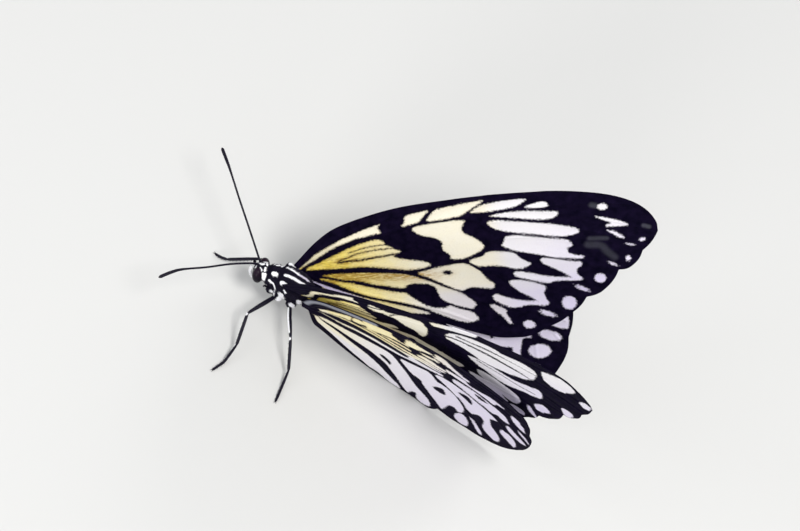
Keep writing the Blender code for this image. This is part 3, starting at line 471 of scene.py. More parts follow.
hind = {
    "along": (-0.9965, 0.0836, 0.0),
    "across": (0.0293, 0.3490, 0.9367),
    "root": (-3.42, 3.61, -1.85),
    "rootBend": 1.7,
    "upperEdge": [(45.2, 19.5), (42.6, 22.0), (38, 24.0), (32, 25.1), (26, 25.0), (20, 23.4),
                  (13, 19.4), (6, 14.0), (2.7, 11.0), (0.6, 7.6), (0.1, 3.6), (0.6, 0.6),
                  (0.2, -1.6)],
    "innerEdge": [(0.2, -1.6), (2.0, -3.6), (4.4, -4.5), (7.3, -5.4), (11.5, -7.0), (16, -8.4),
                  (20.5, -9.25)],
    "corners": [(31.5, -9.25), (33.2, -6.3), (39.8, -5.9), (45.2, -5.0), (49.2, 0.4), (49.8, 7.6),
                (47.9, 13.0), (45.2, 19.5)],
    "veins": [
        [(1.4, 2.2), (3.2, 8.6), (9, 15.0), (17, 20.4), (27, 23.4), (39, 22.4)],
        [(2.2, 2.4), (8, 11.6), (15, 16.4), (24, 20.6), (34, 21.6), (43.6, 19.6)],
        [(24, 20.6), (28.4, 18.2), (28.8, 14.5)],
        [(28.4, 18.6), (36, 18.3), (45.6, 16.0)],
        [(28.6, 17.2), (37, 16.4), (48.6, 10.6)],
        [(28.8, 14.5), (36, 13.2), (42, 9.8), (48.6, 0.9)],
        [(2.4, 1.4), (7, 5.0), (12, 6.8), (19, 8.3), (25, 11.4), (28.8, 14.5)],
        [(27, 12.3), (32, 9.6), (37, 3.4), (44.4, -4.6)],
        [(20, 8.6), (24, 4.9), (29, -0.6), (33.6, -5.6)],
        [(2.6, 0.7), (10, 0.5), (17, -0.3), (22, -3.6), (28.0, -8.6)],
        [(2.2, -0.6), (9, -3.3), (15, -6.0), (19.5, -8.4)],
    ],
    "light": [
        # inner and lower cells
        [(2.5, -0.3), (3.3, 0.8), (4.3, 1.1), (6, 0.1), (8, 0), (10.5, -0.5), (13.5, -1.1),
         (15.5, -1.5), (17.5, -2.25), (19.5, -3.5), (21, -4.75), (23, -6.25), (24.5, -7.25),
         (25.3, -8.1), (25.5, -8.8), (23, -8.7), (20.5, -8), (18, -7.75), (15.5, -7), (13, -6),
         (10.5, -4.75), (8, -3.25), (5.5, -2), (3.75, -1.25), (2.75, -0.9)],
        [(4, 1.4), (5.5, 2.75), (8, 3.75), (10.5, 4.75), (13, 5.75), (15.5, 6.6), (17.5, 7.25),
         (19, 7.25), (20, 6.6), (21, 5.5), (22.25, 4.25), (23.5, 3), (25.25, 0.75), (27, -1.25),
         (28.5, -2.5), (30.2, -3.9), (31.2, -5.3), (31.9, -6.8), (31.8, -8), (30.5, -8.6),
         (29.2, -8.3), (28.6, -7), (28.2, -5), (27.6, -5), (27.3, -6), (27.1, -7.8), (26.8, -7.8),
         (25.75, -6.75), (24.5, -5.25), (23, -3.5), (21.2, -1.5), (20.2, -0.25), (19.25, 0.5),
         (17.75, 1), (16, 1.6), (13.5, 1.6), (10.5, 1.4), (8, 1.4), (5.1, 1)],
        [(20.4, 8.4), (22, 9.25), (24, 10.5), (25.5, 11.25), (26.75, 11), (27.75, 10), (28.25, 9.4),
         (29.5, 9.4), (30.75, 9.25), (32.5, 8.25), (34, 7), (35.5, 5.25), (36.25, 3.5), (36.6, 2),
         (36.5, 0.9), (35.9, 0.2), (35.3, 1.2), (34.7, 1.5), (34.1, 1.2), (33.75, 0.3), (33.8, -2),
         (33.8, -4.9), (33.3, -4.4), (32, -2.8), (30.3, -1), (28.3, 1.25), (27, 2.8), (26.8, 3.8),
         (25.5, 4.05), (24, 4.75), (22, 6.3)],
        [(36.4, 0.25), (37, 0.5), (38, -0.25), (39, -2), (39.5, -4), (39.5, -4.75), (38, -5.5),
         (36.4, -4), (35.9, -1.5)],
        [(27.1, 12.25), (27.75, 13.25), (29.5, 13.75), (32, 13.75), (34, 13.3), (36, 12.4),
         (38, 11.75), (40, 10.75), (41.75, 9.75), (42, 9.1), (41, 8.8), (40.6, 8.25), (41.25, 6.75),
         (42, 4.75), (43.25, 3.5), (44.5, 2), (45.5, 0.2), (45.7, -1.5), (45, -2.5), (44, -1.9),
         (43, -1.3), (41.8, -0.1), (41, 1.7), (40.7, 4), (40.2, 5.3), (39.3, 6.2), (38.7, 6.2),
         (38.1, 5.2), (37.9, 4), (36.5, 4.75), (35.5, 6.25), (34, 8), (32.5, 9), (30.5, 10),
         (29.25, 10.75), (28, 11.1)],
        [(38, 1.75), (39, 1.5), (40.25, 0), (41.5, -1.75), (42.5, -3.5), (42.75, -4.75),
         (41.5, -3.75), (40.25, -1.75), (38.75, 0.5)],
        # stripes of the cell
        [(3, 4.2), (5, 5.1), (8, 6.3), (10, 8), (12, 9), (14, 10), (16, 10.4), (18, 10.9),
         (20.5, 11.25), (21.5, 12), (24, 12.75), (25.5, 13.5), (28, 14.5), (27.75, 14), (26, 12.75),
         (24, 12), (21.75, 11), (20, 9.9), (18, 9.4), (15.5, 8.75), (13, 8), (11, 7.25), (9, 6.25),
         (6, 5.1)],
        [(21, 12), (22.5, 12), (25, 12.7), (28.2, 14), (28.2, 14.9), (26, 14.4), (23.5, 13.9),
         (21.3, 13.6)],
        [(4.2, 6), (8, 9.4), (11, 11), (14, 11.9), (16, 12.4), (19, 12.8), (21, 13), (23, 14.6),
         (27.5, 15.3), (27.3, 15.9), (23, 15.6), (20, 13.7), (16, 13.1), (13, 12.5), (10, 11.2),
         (7, 9.2)],
        [(10.6, 12), (14, 13.2), (16, 13.5), (19, 14.3), (22, 14.9), (24, 15.8), (28, 16.4),
         (28, 17.2), (23.5, 16.6), (20, 15.3), (17, 14.6), (14, 13.9), (12, 13)],
        [(14.2, 14.3), (16, 14.9), (19, 16), (21.5, 16.6), (24, 16.9), (28, 17.4), (28, 18.3),
         (25.4, 18.2), (22.6, 17.6), (19.5, 16.8), (16.5, 15.9)],
        # yellow patches towards the front edge
        [(3.1, 5.25), (4, 7.5), (5.25, 9.25), (6.75, 11.25), (8, 13), (8.5, 13), (8.7, 11.25),
         (8.75, 10.75), (7.5, 10), (6.25, 8.75), (5, 7.25), (3.75, 5.5)],
        [(8.5, 12.8), (9, 14), (10, 14.6), (11.3, 14.6), (11.5, 13.9), (11, 13.1), (10, 12.2),
         (9, 11.6)],
        [(11.5, 13.5), (10, 15.25), (11, 16), (13, 17.5), (14.5, 18.75), (15.5, 19.5),
         (15.75, 18.25), (16.5, 17.9), (18, 18), (19.25, 18.25), (20, 17.75), (18.5, 17.4),
         (17, 16.75), (15.5, 15.75), (14, 14.5), (12.5, 13.25), (11.9, 12.75)],
        [(18, 20.75), (19, 21.75), (21.5, 22.25), (24, 22.25), (23, 21.25), (21.75, 20.25),
         (20.5, 19), (19.5, 18.25), (18.5, 18.5), (18.4, 20)],
        [(21.5, 18.75), (23, 19.75), (24.5, 21), (25.5, 21), (25.75, 20.25), (25, 19.75), (23, 18.75)],
        [(22, 17.5), (23, 18.3), (25, 18.6), (25.8, 18.1), (24.5, 17.4), (23, 16.7), (22, 16.6)],
        [(23.5, 21.25), (24.5, 22.25), (23.5, 23.25), (25.25, 23.9), (27, 23.5), (28, 22.25),
         (32, 21.25), (32.25, 20.25), (30, 20.4), (28.25, 20.75), (27.9, 21.25), (25.75, 21.4)],
    ],
    "sideMarks": {
        "left": [[(43.75, 6.5), (45, 6.5), (46.5, 5.5), (47.75, 4), (48.5, 2), (48.25, 0.75),
                  (47, 1.75), (45.5, 3), (44, 4.5)],
                 [(43.75, 11.25), (45.25, 10), (47, 8.75), (49, 7.25), (49.25, 6.5), (48, 6.25),
                  (46.5, 7), (45, 8), (43.75, 9.5)],
                 [(45.5, 12.4), (46.5, 11.75), (48, 10.25), (49.75, 8), (48.25, 9.25), (46.25, 10.75)],
                 [(30, 17.2), (32, 17.3), (34.5, 17.4), (36, 17), (38, 16.4), (40, 15.8),
                  (42, 14.8), (42.8, 13.8), (43.6, 12.4), (43.4, 11.9), (42, 12.3), (40.7, 13.1),
                  (40.3, 12.3), (39.9, 12), (38, 12.8), (36, 13.4), (34, 14), (32, 14.6),
                  (30.3, 14.8), (29.9, 16)],
                 [(27.2, 19.2), (29, 19.7), (31.8, 20), (32, 19), (33.5, 18.9), (35, 19.2),
                  (36.5, 20), (38.5, 19.7), (40.5, 19), (40.3, 18.6), (38.8, 18.6), (38.7, 17.2),
                  (38, 17.3), (36, 18), (34, 18.3), (31.9, 18.3), (30, 18.3), (28.2, 18.3)],
                 [(42.25, 18), (43.75, 17.5), (45.25, 16), (46.5, 14.25), (47, 13), (46, 13.25),
                  (44, 14.75), (42.75, 16.25)]],
        "right": [[(43.1, 13.9), (43.8, 15.4), (44.5, 16.5), (45.3, 17.3), (46.3, 16.1), (46.9, 14.6),
                   (45.5, 14), (44.2, 13.8)],
                  [(31.8, 4.1), (33.7, 4.7), (35.8, 5.3), (37.9, 6.7), (39.6, 7.8), (40.4, 9),
                   (41, 9.6), (40.9, 8.3), (40.4, 7.3), (40.5, 6.4), (41.1, 5.7), (39.7, 5.2),
                   (38.2, 4.5), (36.2, 4.1), (34.2, 3.8), (32.8, 3.8)]],
    },
    "sideSpots": {
        "right": [(44.7, 11.6, 2.15, 1.1, 13), (44.8, 7.4, 2.1, 1.6, 31),
                  (45.6, 3.2, 1.5, 1.3, 20), (43.4, -0.8, 1.2, 1.5, 0), (37.6, 20.6, 1.3, 0.6, -10)],
    },
    "spots": [],
    "darkSpots": [],
    "dark": [
        [(17.4, 3.8), (18, 4.2), (19.2, 3.8), (20.2, 2.9), (20.4, 1.6), (20.2, 1.2), (19.6, 1.9),
         (18.4, 2.5), (17.6, 3)],
        [(30.25, 7.75), (31.25, 6.5), (31.75, 5), (31, 4.25), (29.5, 4.3), (28.75, 5), (29.25, 6.5)],
        [(32.5, 11.25), (33, 12), (34.5, 12.4), (35.75, 11.25), (36.4, 9.25), (35.75, 9.5),
         (34.5, 10.25), (33, 10.75)],
        [(34.5, 16.5), (35.5, 16.9), (37, 16.4), (38.1, 15.75), (37.5, 15.25), (36, 15.1),
         (35, 15.75)],
        [(15.7, 18.4), (16, 20), (17, 20.6), (18.2, 20.3), (18.3, 19), (17.8, 18.1), (16.5, 17.9)],
        [(20.3, 18.3), (21.5, 18.6), (21.9, 18), (21.9, 16.5), (21.2, 16), (20.6, 16.4),
         (20.2, 17.3)],
        [(14, 11), (17, 11.5), (21.25, 12), (21.25, 12.6), (17, 12.2), (14, 11.5)],
    ],
    "darkLines": [(0.4, (25.5, 20.6), (27.9, 21.2))],
    "sideLines": {},
    "haze": [(0.62, 1.0, (0.75, 4), (1.3, 7), (3.0, 10), (6.2, 13.1), (9, 15.3), (12.4, 17.8))],
}


def unit(arrows):
    return arrows / np.linalg.norm(arrows, axis=-1, keepdims=True)


def hump(x, width):
    return np.exp(-(x / width) ** 2)


def smoothStep(t):
    t = np.clip(t, 0, 1)
    return t * t * (3 - 2 * t)


def runAlong(path):
    # the length of a path up to each of its points
    return np.concatenate([[0], np.cumsum(np.linalg.norm(np.diff(path, axis=0), axis=1))])


def mirrored(points):
    return [(x, -y, z) for x, y, z in points]


def smoothPath(points, step):
    # points about one step apart on a smooth curve through the given ones
    points = [np.array(p, float) for p in points]
    ends = [2 * points[0] - points[1]] + points + [2 * points[-1] - points[-2]]
    path = []
    for i in range(1, len(ends) - 2):
        a, b, c, d = ends[i - 1:i + 3]
        count = max(1, round(np.linalg.norm(c - b) / step))
        t = (np.arange(count) / count)[:, None]
        path.append(0.5 * (2 * b + (c - a) * t + (2 * a - 5 * b + 4 * c - d) * t ** 2
                           + (3 * b - a - 3 * c + d) * t ** 3))
    return np.vstack(path + [points[-1][None]])


def scallops(corners, sense):
    # chords between the corners, each bowed outwards
    path = []
    for a, b in zip(corners, corners[1:]):
        a, b = np.array(a, float), np.array(b, float)
        chord = b - a
        out = unit(np.array((chord[1], -chord[0]))) * sense * wing["scallop"]
        t = np.linspace(0, 1, wing["scallopSteps"], endpoint=False)[:, None]
        path.append(a + chord * t + out * np.sin(math.pi * t))
    return np.vstack(path + [np.array(corners[-1], float)[None]])


def spread(path, where):
    # places along a path, given as parts of its length
    run = runAlong(path)
    at = where * run[-1]
    return np.stack([np.interp(at, run, path[:, k]) for k in range(path.shape[1])], axis=-1)


farOutside = -9.0  # stands for the distance of a place that is in no mark
markReach = 0.9  # distances are worked out this far round a mark


def roundCorners(outline, cut=0.2):
    points = np.array(outline, float)
    for _ in range(2):
        step = np.roll(points, -1, axis=0) - points
        points = np.stack([points + cut * step, points + (1 - cut) * step], 1).reshape(-1, 2)
    return points


def lineDistance(spots, path):
    best = np.full(len(spots), 1e9)
    for a, b in zip(path, path[1:]):
        a, b = np.array(a, float), np.array(b, float)
        chord = b - a
        t = np.clip((spots - a) @ chord / (chord @ chord + 1e-12), 0, 1)
        best = np.minimum(best, np.linalg.norm(spots - a - t[:, None] * chord, axis=1))
    return best


def insideDistance(spots, outline):
    # above zero inside the outline, below zero outside it and within reach of it
    near = np.full(len(spots), farOutside)
    low, high = outline.min(0) - markReach, outline.max(0) + markReach
    close = np.all((spots > low) & (spots < high), axis=1)
    part = spots[close]
    away = lineDistance(part, list(outline) + [outline[0]])
    inside = np.zeros(len(part), bool)
    for a, b in zip(outline, np.roll(outline, -1, axis=0)):
        if a[1] != b[1]:
            crosses = (a[1] > part[:, 1]) != (b[1] > part[:, 1])
            edge = (b[0] - a[0]) * (part[:, 1] - a[1]) / (b[1] - a[1]) + a[0]
            inside ^= crosses & (part[:, 0] < edge)
    near[close] = np.where(inside, away, -away)
    return near


def spotDistance(spots, mark):
    x, y, across, up, tilt = mark
    turn = math.radians(tilt)
    dx, dy = spots[:, 0] - x, spots[:, 1] - y
    u = dx * math.cos(turn) + dy * math.sin(turn)
    v = dy * math.cos(turn) - dx * math.sin(turn)
    return (1 - np.hypot(u / across, v / up)) * min(across, up)


def movedBack(table, side, flat):
    # where each place's marks would lie on the plain wing
    moves = np.array(table.get("moved", {}).get(side, [(0, 0, 0, 0)]), float)
    away = ((flat[:, None] - (moves[:, :2] + moves[:, 2:])) ** 2).sum(-1)
    weight = 1 / (away + 3) ** 2
    return flat - (weight[..., None] * moves[:, 2:]).sum(1) / weight.sum(1)[:, None]


def shared(table, side, x, y):
    # whether a mark at this place is on both sides
    beyond, below, before = table.get("own", {}).get(side, (99, 0, 0))
    return x < beyond or (y < below and x < before)


def wingMarks(table, side, flat, moved):
    # how deep each place lies in a light mark, and how strong the faint marks are there
    light = np.full(len(flat), farOutside)
    for outline in table["light"]:
        if shared(table, side, *np.mean(outline, axis=0)):
            light = np.maximum(light, insideDistance(moved, roundCorners(outline)))
    for outline in table["sideMarks"].get(side, []):
        light = np.maximum(light, insideDistance(flat, roundCorners(outline)))
    spots = [mark for mark in table["spots"] if shared(table, side, *mark[:2])]
    for mark in spots + table["sideSpots"].get(side, []):
        light = np.maximum(light, spotDistance(flat, mark))
    for outline in table["dark"]:
        light = np.minimum(light, -insideDistance(flat, roundCorners(outline)))
    for mark in table["darkSpots"]:
        light = np.minimum(light, -spotDistance(moved, mark))
    for width, *path in table["darkLines"] + table["sideLines"].get(side, []):
        where = moved if shared(table, side, *path[0]) else flat
        path = smoothPath(path, wing["markStep"])
        light = np.minimum(light, lineDistance(where, path) - width / 2)
    haze = np.zeros(len(flat))
    for strength, width, *path in table["haze"]:
        if shared(table, side, *path[0]):
            away = lineDistance(flat, smoothPath(path, wing["markStep"]))
            haze = np.maximum(haze, strength * np.clip(1.5 - 2 * away / width, 0, 1))
    return light, haze


def forePlace(side, flat):
    hold = fore["hold"][side]
    turn = Vector([math.radians(a) for a in hold["turn"]])
    spin = Matrix.Rotation(turn.length, 3, turn) if turn.length else Matrix.Identity(3)
    along, across = spin @ Vector(fore["along"]), spin @ Vector(fore["across"])
    out = np.array(along.cross(across))
    x, y = flat[:, :1], flat[:, 1:]
    t = x / wing["length"]
    bend = hold["bow"] * t ** 2 + hold["twist"] * t * y / 20 + hold["curl"] * t ** 3
    bend -= hold["tuck"] * smoothStep((14 - x) / 9) * smoothStep((-1.0 - y) / 3.5)
    root = np.array(fore["root"]) + hold["shift"]
    return root + x * np.array(along) + y * np.array(across) + out * bend, out


def hindPlace(side, flat):
    along, across = np.array(hind["along"]), np.array(hind["across"])
    out = np.cross(along, across)
    out = out if out[1] > 0 else -out
    x, y = flat[:, :1], flat[:, 1:]
    near = smoothStep((5.2 - x) / 3.6) * smoothStep((0.9 - y) / 2.2)
    return np.array(hind["root"]) + x * along + y * across - out * hind["rootBend"] * near, out


def foreEdges():
    step = wing["edgeStep"]
    front = smoothPath(fore["frontEdge"], step)
    back = np.vstack([scallops(fore["corners"], -1)[:-1], smoothPath(fore["hindEdge"], step)])
    return front, back[::-1]


def hindEdges():
    step = wing["edgeStep"]
    front = smoothPath(hind["upperEdge"], step)[::-1]
    resting = [hind["innerEdge"][-1], hind["corners"][0]]  # the part that lies on the floor
    back = np.vstack([smoothPath(hind["innerEdge"], step)[:-1], smoothPath(resting, step)[:-1],
                      scallops(hind["corners"], 1)])
    return front, back


def makeWing(kind, table, side, edges, place, tint, material):
    deselect()
    bpy.ops.mesh.primitive_grid_add(x_subdivisions=wing["columns"], y_subdivisions=wing["rows"],
                                    size=2)
    piece = bpy.context.object
    grid = places(piece)
    u, v = (grid[:, 0] + 1) / 2, (grid[:, 1] + 1) / 2
    u = 0.7 * u + 0.15 * (1 - np.cos(math.pi * u))  # finer at the root and tip
    front, back = edges()
    flat = spread(back, u) * (1 - v)[:, None] + spread(front, u) * v[:, None]
    toTip = np.clip(np.hypot(*flat.T) / wing["length"], 0, 1)
    size = wing["veinHalfWidth"] - wing["veinTaper"] * toTip
    veinAway = np.min([lineDistance(flat, smoothPath(path, 1.0)) for path in table["veins"]], axis=0)
    ridge = np.clip(1 - (veinAway / size) ** 2, 0, 1)
    spots, out = place(side, flat)
    spots = spots + out * (wing["pleat"] * smoothStep(veinAway / wing["pleatWidth"]))[:, None]
    spots[:, 1] *= sides[side]
    spots[:, 2] = np.maximum(spots[:, 2], floorZ + wing["aboveFloor"])
    setPlaces(piece, spots)

    moved = movedBack(table, side, flat)
    light, haze = wingMarks(table, side, flat, moved)
    warm, brown, lilac = tint(moved)
    setAttributes(piece, light=light, haze=haze, warm=warm, brown=brown, lilac=lilac)
    layer = piece.data.uv_layers[0]
    layer.name = "flat"
    onMap = flat[cornerPoints(piece)] / wing["mapScale"] + wing["mapShift"]
    layer.data.foreach_set("uv", onMap.ravel())
    thick = piece.vertex_groups.new(name="thick")
    least = wing["membrane"] / wing["vein"]
    count = wing["veinSteps"]
    for level in range(count + 1):
        chosen = np.nonzero(np.round(ridge * count) == level)[0]
        if len(chosen):
            thick.add(chosen.tolist(), least + (1 - least) * level / count, "REPLACE")
    outward(piece, wing["merge"])
    applyModifier(piece, "SOLIDIFY", thickness=wing["vein"], offset=0, vertex_group="thick",
                  use_even_offset=False, use_rim=True)
    settle(piece, kind + side.capitalize(), material, "wing", kind + "_" + side)


def foreTint(flat):
    # yellow near the root, gold-brown behind the cell's lower vein, lilac towards the outer edge
    x, y = flat[:, 0], flat[:, 1]
    between = np.interp(x, (0, 4, 8, 12.6, 16, 30), (-0.4, 0.85, 2.8, 4.4, 4.9, 6.5))
    warm = smoothStep((32 - x) / 30) * (1 - 0.68 * smoothStep((y - between) / 0.6 + 0.5))
    warm = np.maximum(warm, 0.2 * smoothStep((40 - x) / 4))
    warm *= 1 - 0.75 * smoothStep((x - 17) / 7) * smoothStep((-7.5 - y) / 2.5)
    brown = hump(y + 3.2 + 0.1 * (x - 8), 1.2)
    brown += 0.5 * hump(y - 0.1, 0.8) * smoothStep((14 - x) / 5)
    brown *= smoothStep((x - 2) / 5) * smoothStep((31 - x) / 12)
    lilac = 0.16 * smoothStep((x - 33) / 8)
    lilac += 0.4 * smoothStep((x - 36) / 22) * smoothStep((6 - y) / 9)
    lilac += 0.4 * smoothStep((-5 - y) / 8) * smoothStep((x - 18) / 12)
    strip = smoothStep((-1.1 - 0.62 * x - y) / 0.8) * smoothStep((24 - x) / 10)
    return warm * (1 - strip), brown * (1 - strip), np.clip(np.maximum(lilac, 1.3 * strip), 0, 1)


def hindTint(flat):
    # yellow towards the front edge near the root, and lilac away from it
    x, y = flat[:, 0], flat[:, 1]
    warm = 0.5 * smoothStep((y - 4.2 - 0.4 * x) / 2.0) * smoothStep((33 - x) / 20)
    warm = np.maximum(warm, 0.26 * smoothStep((20 - x) / 14) * smoothStep((y + 4) / 3))
    lilac = 0.2 + 0.45 * smoothStep((x - 14) / 26) - 0.8 * warm
    return warm, 0 * x, np.clip(lilac, 0, 1)


# body: one skin for thorax, abdomen, neck and head
body = {
    "inset": 0.15,  # room left for the coat
    "neckInset": 0.05,
    "around": 40,
    "voxel": 0.13,
    "smoothing": 7,
    "middleZ": -3.0,  # height of the abdomen's front
    "droop": 2.6,  # how far its end hangs below that
    "waist": -6.0,  # marks of thorax and abdomen meet here
    "thorax": [(2.9, -2.8, 1.3, 1.6), (2.4, -2.6, 2.2, 2.7), (1.2, -2.45, 2.85, 3.4),
               (-0.3, -2.35, 3.05, 3.6), (-2.0, -2.35, 2.95, 3.5), (-3.6, -2.4, 2.5, 3.0),
               (-5.0, -2.65, 1.85, 2.2), (-5.9, -2.9, 1.1, 1.3)],
    "abdomenFront": -5.3,
    "abdomenEnd": -28.7,
    "abdomenRadius": 1.75,
    "segments": 8,
    "headPlace": (5.5, 0.08, -3.15),
    "headPitch": 25.0,
    "headYaw": -7.0,
    "headHalf": (1.75, 2.0, 1.9),
    "headBack": -0.3,
    "neckPlace": (3.4, 0.0, -2.75),
    "neckHalf": (1.3, 2.1, 2.15),
    "collarPlace": (2.85, 0.0, -2.5),
    "collarHalf": (0.75, 2.15, 2.2),
    # on each side: the lobe over a forewing's root, and the swellings that carry the legs
    "lobes": [((0.9, 2.2, -0.7), (1.1, 0.5, 0.75))]
             + [(place, (0.95, 0.8, 1.15)) for place in ((2.0, 1.3, -4.9), (0.3, 1.85, -5.0),
                                                         (-2.6, 1.75, -5.2))],
}
headFrame = (Matrix.Translation(body["headPlace"])
             @ Matrix.Rotation(math.radians(body["headYaw"]), 4, "Z")
             @ Matrix.Rotation(math.radians(body["headPitch"]), 4, "Y"))
intoHead = headFrame.inverted()

# pale marks on the body: half width, strength of lilac, True to repeat it mirrored, then points
bodyMarks = [
    # crown
    (0.21, 0.0, False, (6.46, -0.21, -1.86), (6.03, 0.05, -1.47), (5.70, -0.24, -1.38)),
    (0.2, 0.0, False, (6.04, 0.87, -1.60), (5.62, 1.18, -1.66)),
    (0.2, 0.0, False, (5.83, -0.82, -1.6), (5.35, -1.02, -1.66)),
    (0.2, 0.0, False, (6.77, 0.62, -2.54), (6.68, 0.47, -2.19)),
    (0.2, 0.0, False, (6.6, -0.75, -2.54), (6.55, -0.58, -2.19)),
    (0.21, 0.0, False, (5.15, 0.46, -1.35), (5.06, 0.91, -1.51)),
    (0.21, 0.0, False, (5.28, -0.83, -1.54), (5.07, -0.36, -1.38)),
    # behind the eyes
    (0.33, 0.0, False, (4.97, 1.50, -1.97), (4.65, 1.7, -2.5), (4.30, 1.66, -3.09)),
    (0.26, 0.0, False, (4.61, 1.27, -1.93), (4.29, 1.52, -2.73)),
    (0.2, 0.0, False, (4.64, -1.4, -2.1), (4.2, -1.5, -3.09)),
    # collar
    (0.2, 0.0, False, (4.1, -1.15, -1.2), (3.95, -1.25, -1.2)),
    (0.3, 0.0, False, (3.4, -1.2, -0.95), (2.9, -1.3, -0.75), (2.5, -1.35, -0.6)),
    (0.42, 0.0, False, (3.4, 1.0, -0.85), (3.05, 0.95, -0.75)),
    (0.26, 0.0, True, (3.4, 1.95, -2.1), (2.8, 2.1, -2.1), (2.2, 2.3, -2.4), (1.8, 2.5, -2.8)),
    (0.13, 0.4, True, (1.7, 2.4, -3.2), (1.4, 2.3, -4.2)),
    (0.24, 0.0, True, (1.3, 2.2, -4.6), (1.2, 2.1, -4.8)),
    # long stripes of the back
    (0.22, 0.05, False, (1.72, -0.88, 0.18), (1.05, -0.65, 0.71), (-0.02, -0.42, 0.99),
     (-0.69, -0.25, 1.05)),
    (0.24, 0.7, False, (-0.8, -0.3, 1.05), (-1.51, -0.28, 1.01), (-2.67, -0.4, 0.74)),
    (0.26, 0.0, False, (1.50, 0.87, 0.36), (0.74, 0.89, 0.71), (-0.38, 0.94, 0.91),
     (-1.72, 0.94, 0.83), (-2.92, 0.79, 0.52)),
    (0.25, 0.05, False, (-3.34, 0.80, 0.36), (-4.39, 0.49, -0.27)),
    # flanks
    (0.42, 0.0, True, (1.38, 2.4, -0.2), (0.95, 2.45, -0.05)),
    (0.28, 0.1, True, (0.95, 2.45, -0.05), (0.1, 2.3, 0.15)),
    (0.24, 0.9, True, (-0.24, 2.2, 0.1), (-0.94, 2.2, 0.0)),
    (0.2, 0.0, True, (0.20, 2.70, -1.44), (-0.23, 2.83, -1.76)),
    (0.62, 0.05, True, (0.3, 2.75, -3.0), (-0.1, 2.6, -4.0)),
    (0.6, 0.05, True, (-0.2, 2.5, -4.6), (0.0, 2.4, -5.4)),
    (0.46, 0.1, True, (-2.5, 2.45, -4.7), (-3.0, 2.4, -4.9)),
    (0.5, 0.1, True, (-3.3, 2.42, -2.6), (-3.6, 2.2, -3.6)),
    (0.4, 0.1, True, (-3.3, 2.2, -5.7), (-3.5, 1.8, -5.9)),
    (0.13, 0.9, True, (-3.38, 1.84, -0.55), (-3.66, 1.63, -0.46)),
    # underside
    (0.5, 0.0, True, (1.9, 1.7, -4.7), (2.2, 1.4, -4.9)),
    (0.3, 0.0, False, (2.0, 0.0, -5.9), (-4.4, 0.0, -5.2)),
]


def ringBody(name, rings, around):
    # a closed body through rings: each is place x, height z, half width and half height
    deselect()
    x, z, wide, high = rings[0]
    bpy.ops.mesh.primitive_circle_add(vertices=around, radius=1, fill_type="NGON",
                                      location=(x, 0, z), rotation=(0, math.pi / 2, 0))
    piece = bpy.context.object
    bpy.ops.object.transform_apply(location=True, rotation=True, scale=True)
    bpy.ops.object.mode_set(mode="EDIT")
    bpy.ops.mesh.select_all(action="SELECT")
    bpy.ops.transform.resize(value=(1, wide, high), center_override=(x, 0, z))
    for (x0, z0, w0, h0), (x, z, wide, high) in zip(rings, rings[1:]):
        bpy.ops.mesh.extrude_region_move(TRANSFORM_OT_translate={"value": (x - x0, 0, z - z0)})
        bpy.ops.transform.resize(value=(1, wide / w0, high / h0), center_override=(x, 0, z))
    bpy.ops.object.mode_set(mode="OBJECT")
    piece.name = name
    outward(piece, 0)
    return piece


def roundBall(name, place, half, where=Matrix.Identity(4), segments=48, rings=32):
    deselect()
    bpy.ops.mesh.primitive_uv_sphere_add(segments=segments, ring_count=rings, radius=1)
    piece = bpy.context.object
    piece.matrix_world = where @ Matrix.Translation(place) @ Matrix.Diagonal((*half, 1))
    bpy.ops.object.transform_apply(location=True, rotation=True, scale=True)
    piece.name = name
    return piece


def abdomenRings(less):
    # slimmer at both ends, with a groove between two segments
    t = np.linspace(0, 1, body["segments"] * 8 + 1)
    swell = np.sin(math.pi * (0.12 + 0.8 * t)) ** 0.6
    groove = 0.06 * hump((body["segments"] * t) % 1.0 - 0.5, 0.1)
    radius = body["abdomenRadius"] * swell * (1.03 - groove) - less
    x = body["abdomenFront"] + (body["abdomenEnd"] - body["abdomenFront"]) * t
    z = body["middleZ"] - body["droop"] * t ** 1.5
    rings = np.stack([x, z, radius * 0.92, radius], -1).tolist()
    x, z, wide, high = rings[-1]
    return rings + [(x + 0.1, z, wide * 0.75, high * 0.75), (x + 0.02, z, wide * 0.4, high * 0.4)]


def paleMarks(spots):
    # signed distance into the nearest pale mark, and how lilac that mark is
    pale, lilac = np.full(len(spots), farOutside), np.zeros(len(spots))
    for half, tone, both, *path in bodyMarks:
        for where in (spots, spots * (1, -1, 1)) if both else (spots,):
            depth = half - lineDistance(where, path)
            lilac = np.where(depth > pale, tone, lilac)
            pale = np.maximum(pale, depth)
    # abdomen: cream below and at the sides, with a dark line along them and dark seams
    x, y, z = spots.T
    t = np.clip((body["abdomenFront"] - x) / (body["abdomenFront"] - body["abdomenEnd"]), 0, 1)
    middle = body["middleZ"] - body["droop"] * t ** 1.5
    turn = np.arctan2(np.abs(y), z - middle)  # 0 on top, pi below
    seam = np.abs((body["segments"] * t) % 1.0 - 0.5)
    side = np.minimum(turn - 0.95, 0.75) - 0.5 * hump(turn - 1.55, 0.13)
    depth = np.minimum(side * 1.3, (seam - 0.07) * 2.2)
    behind = x < body["waist"]
    return np.where(behind, depth, pale), np.where(behind, 0.05, lilac)


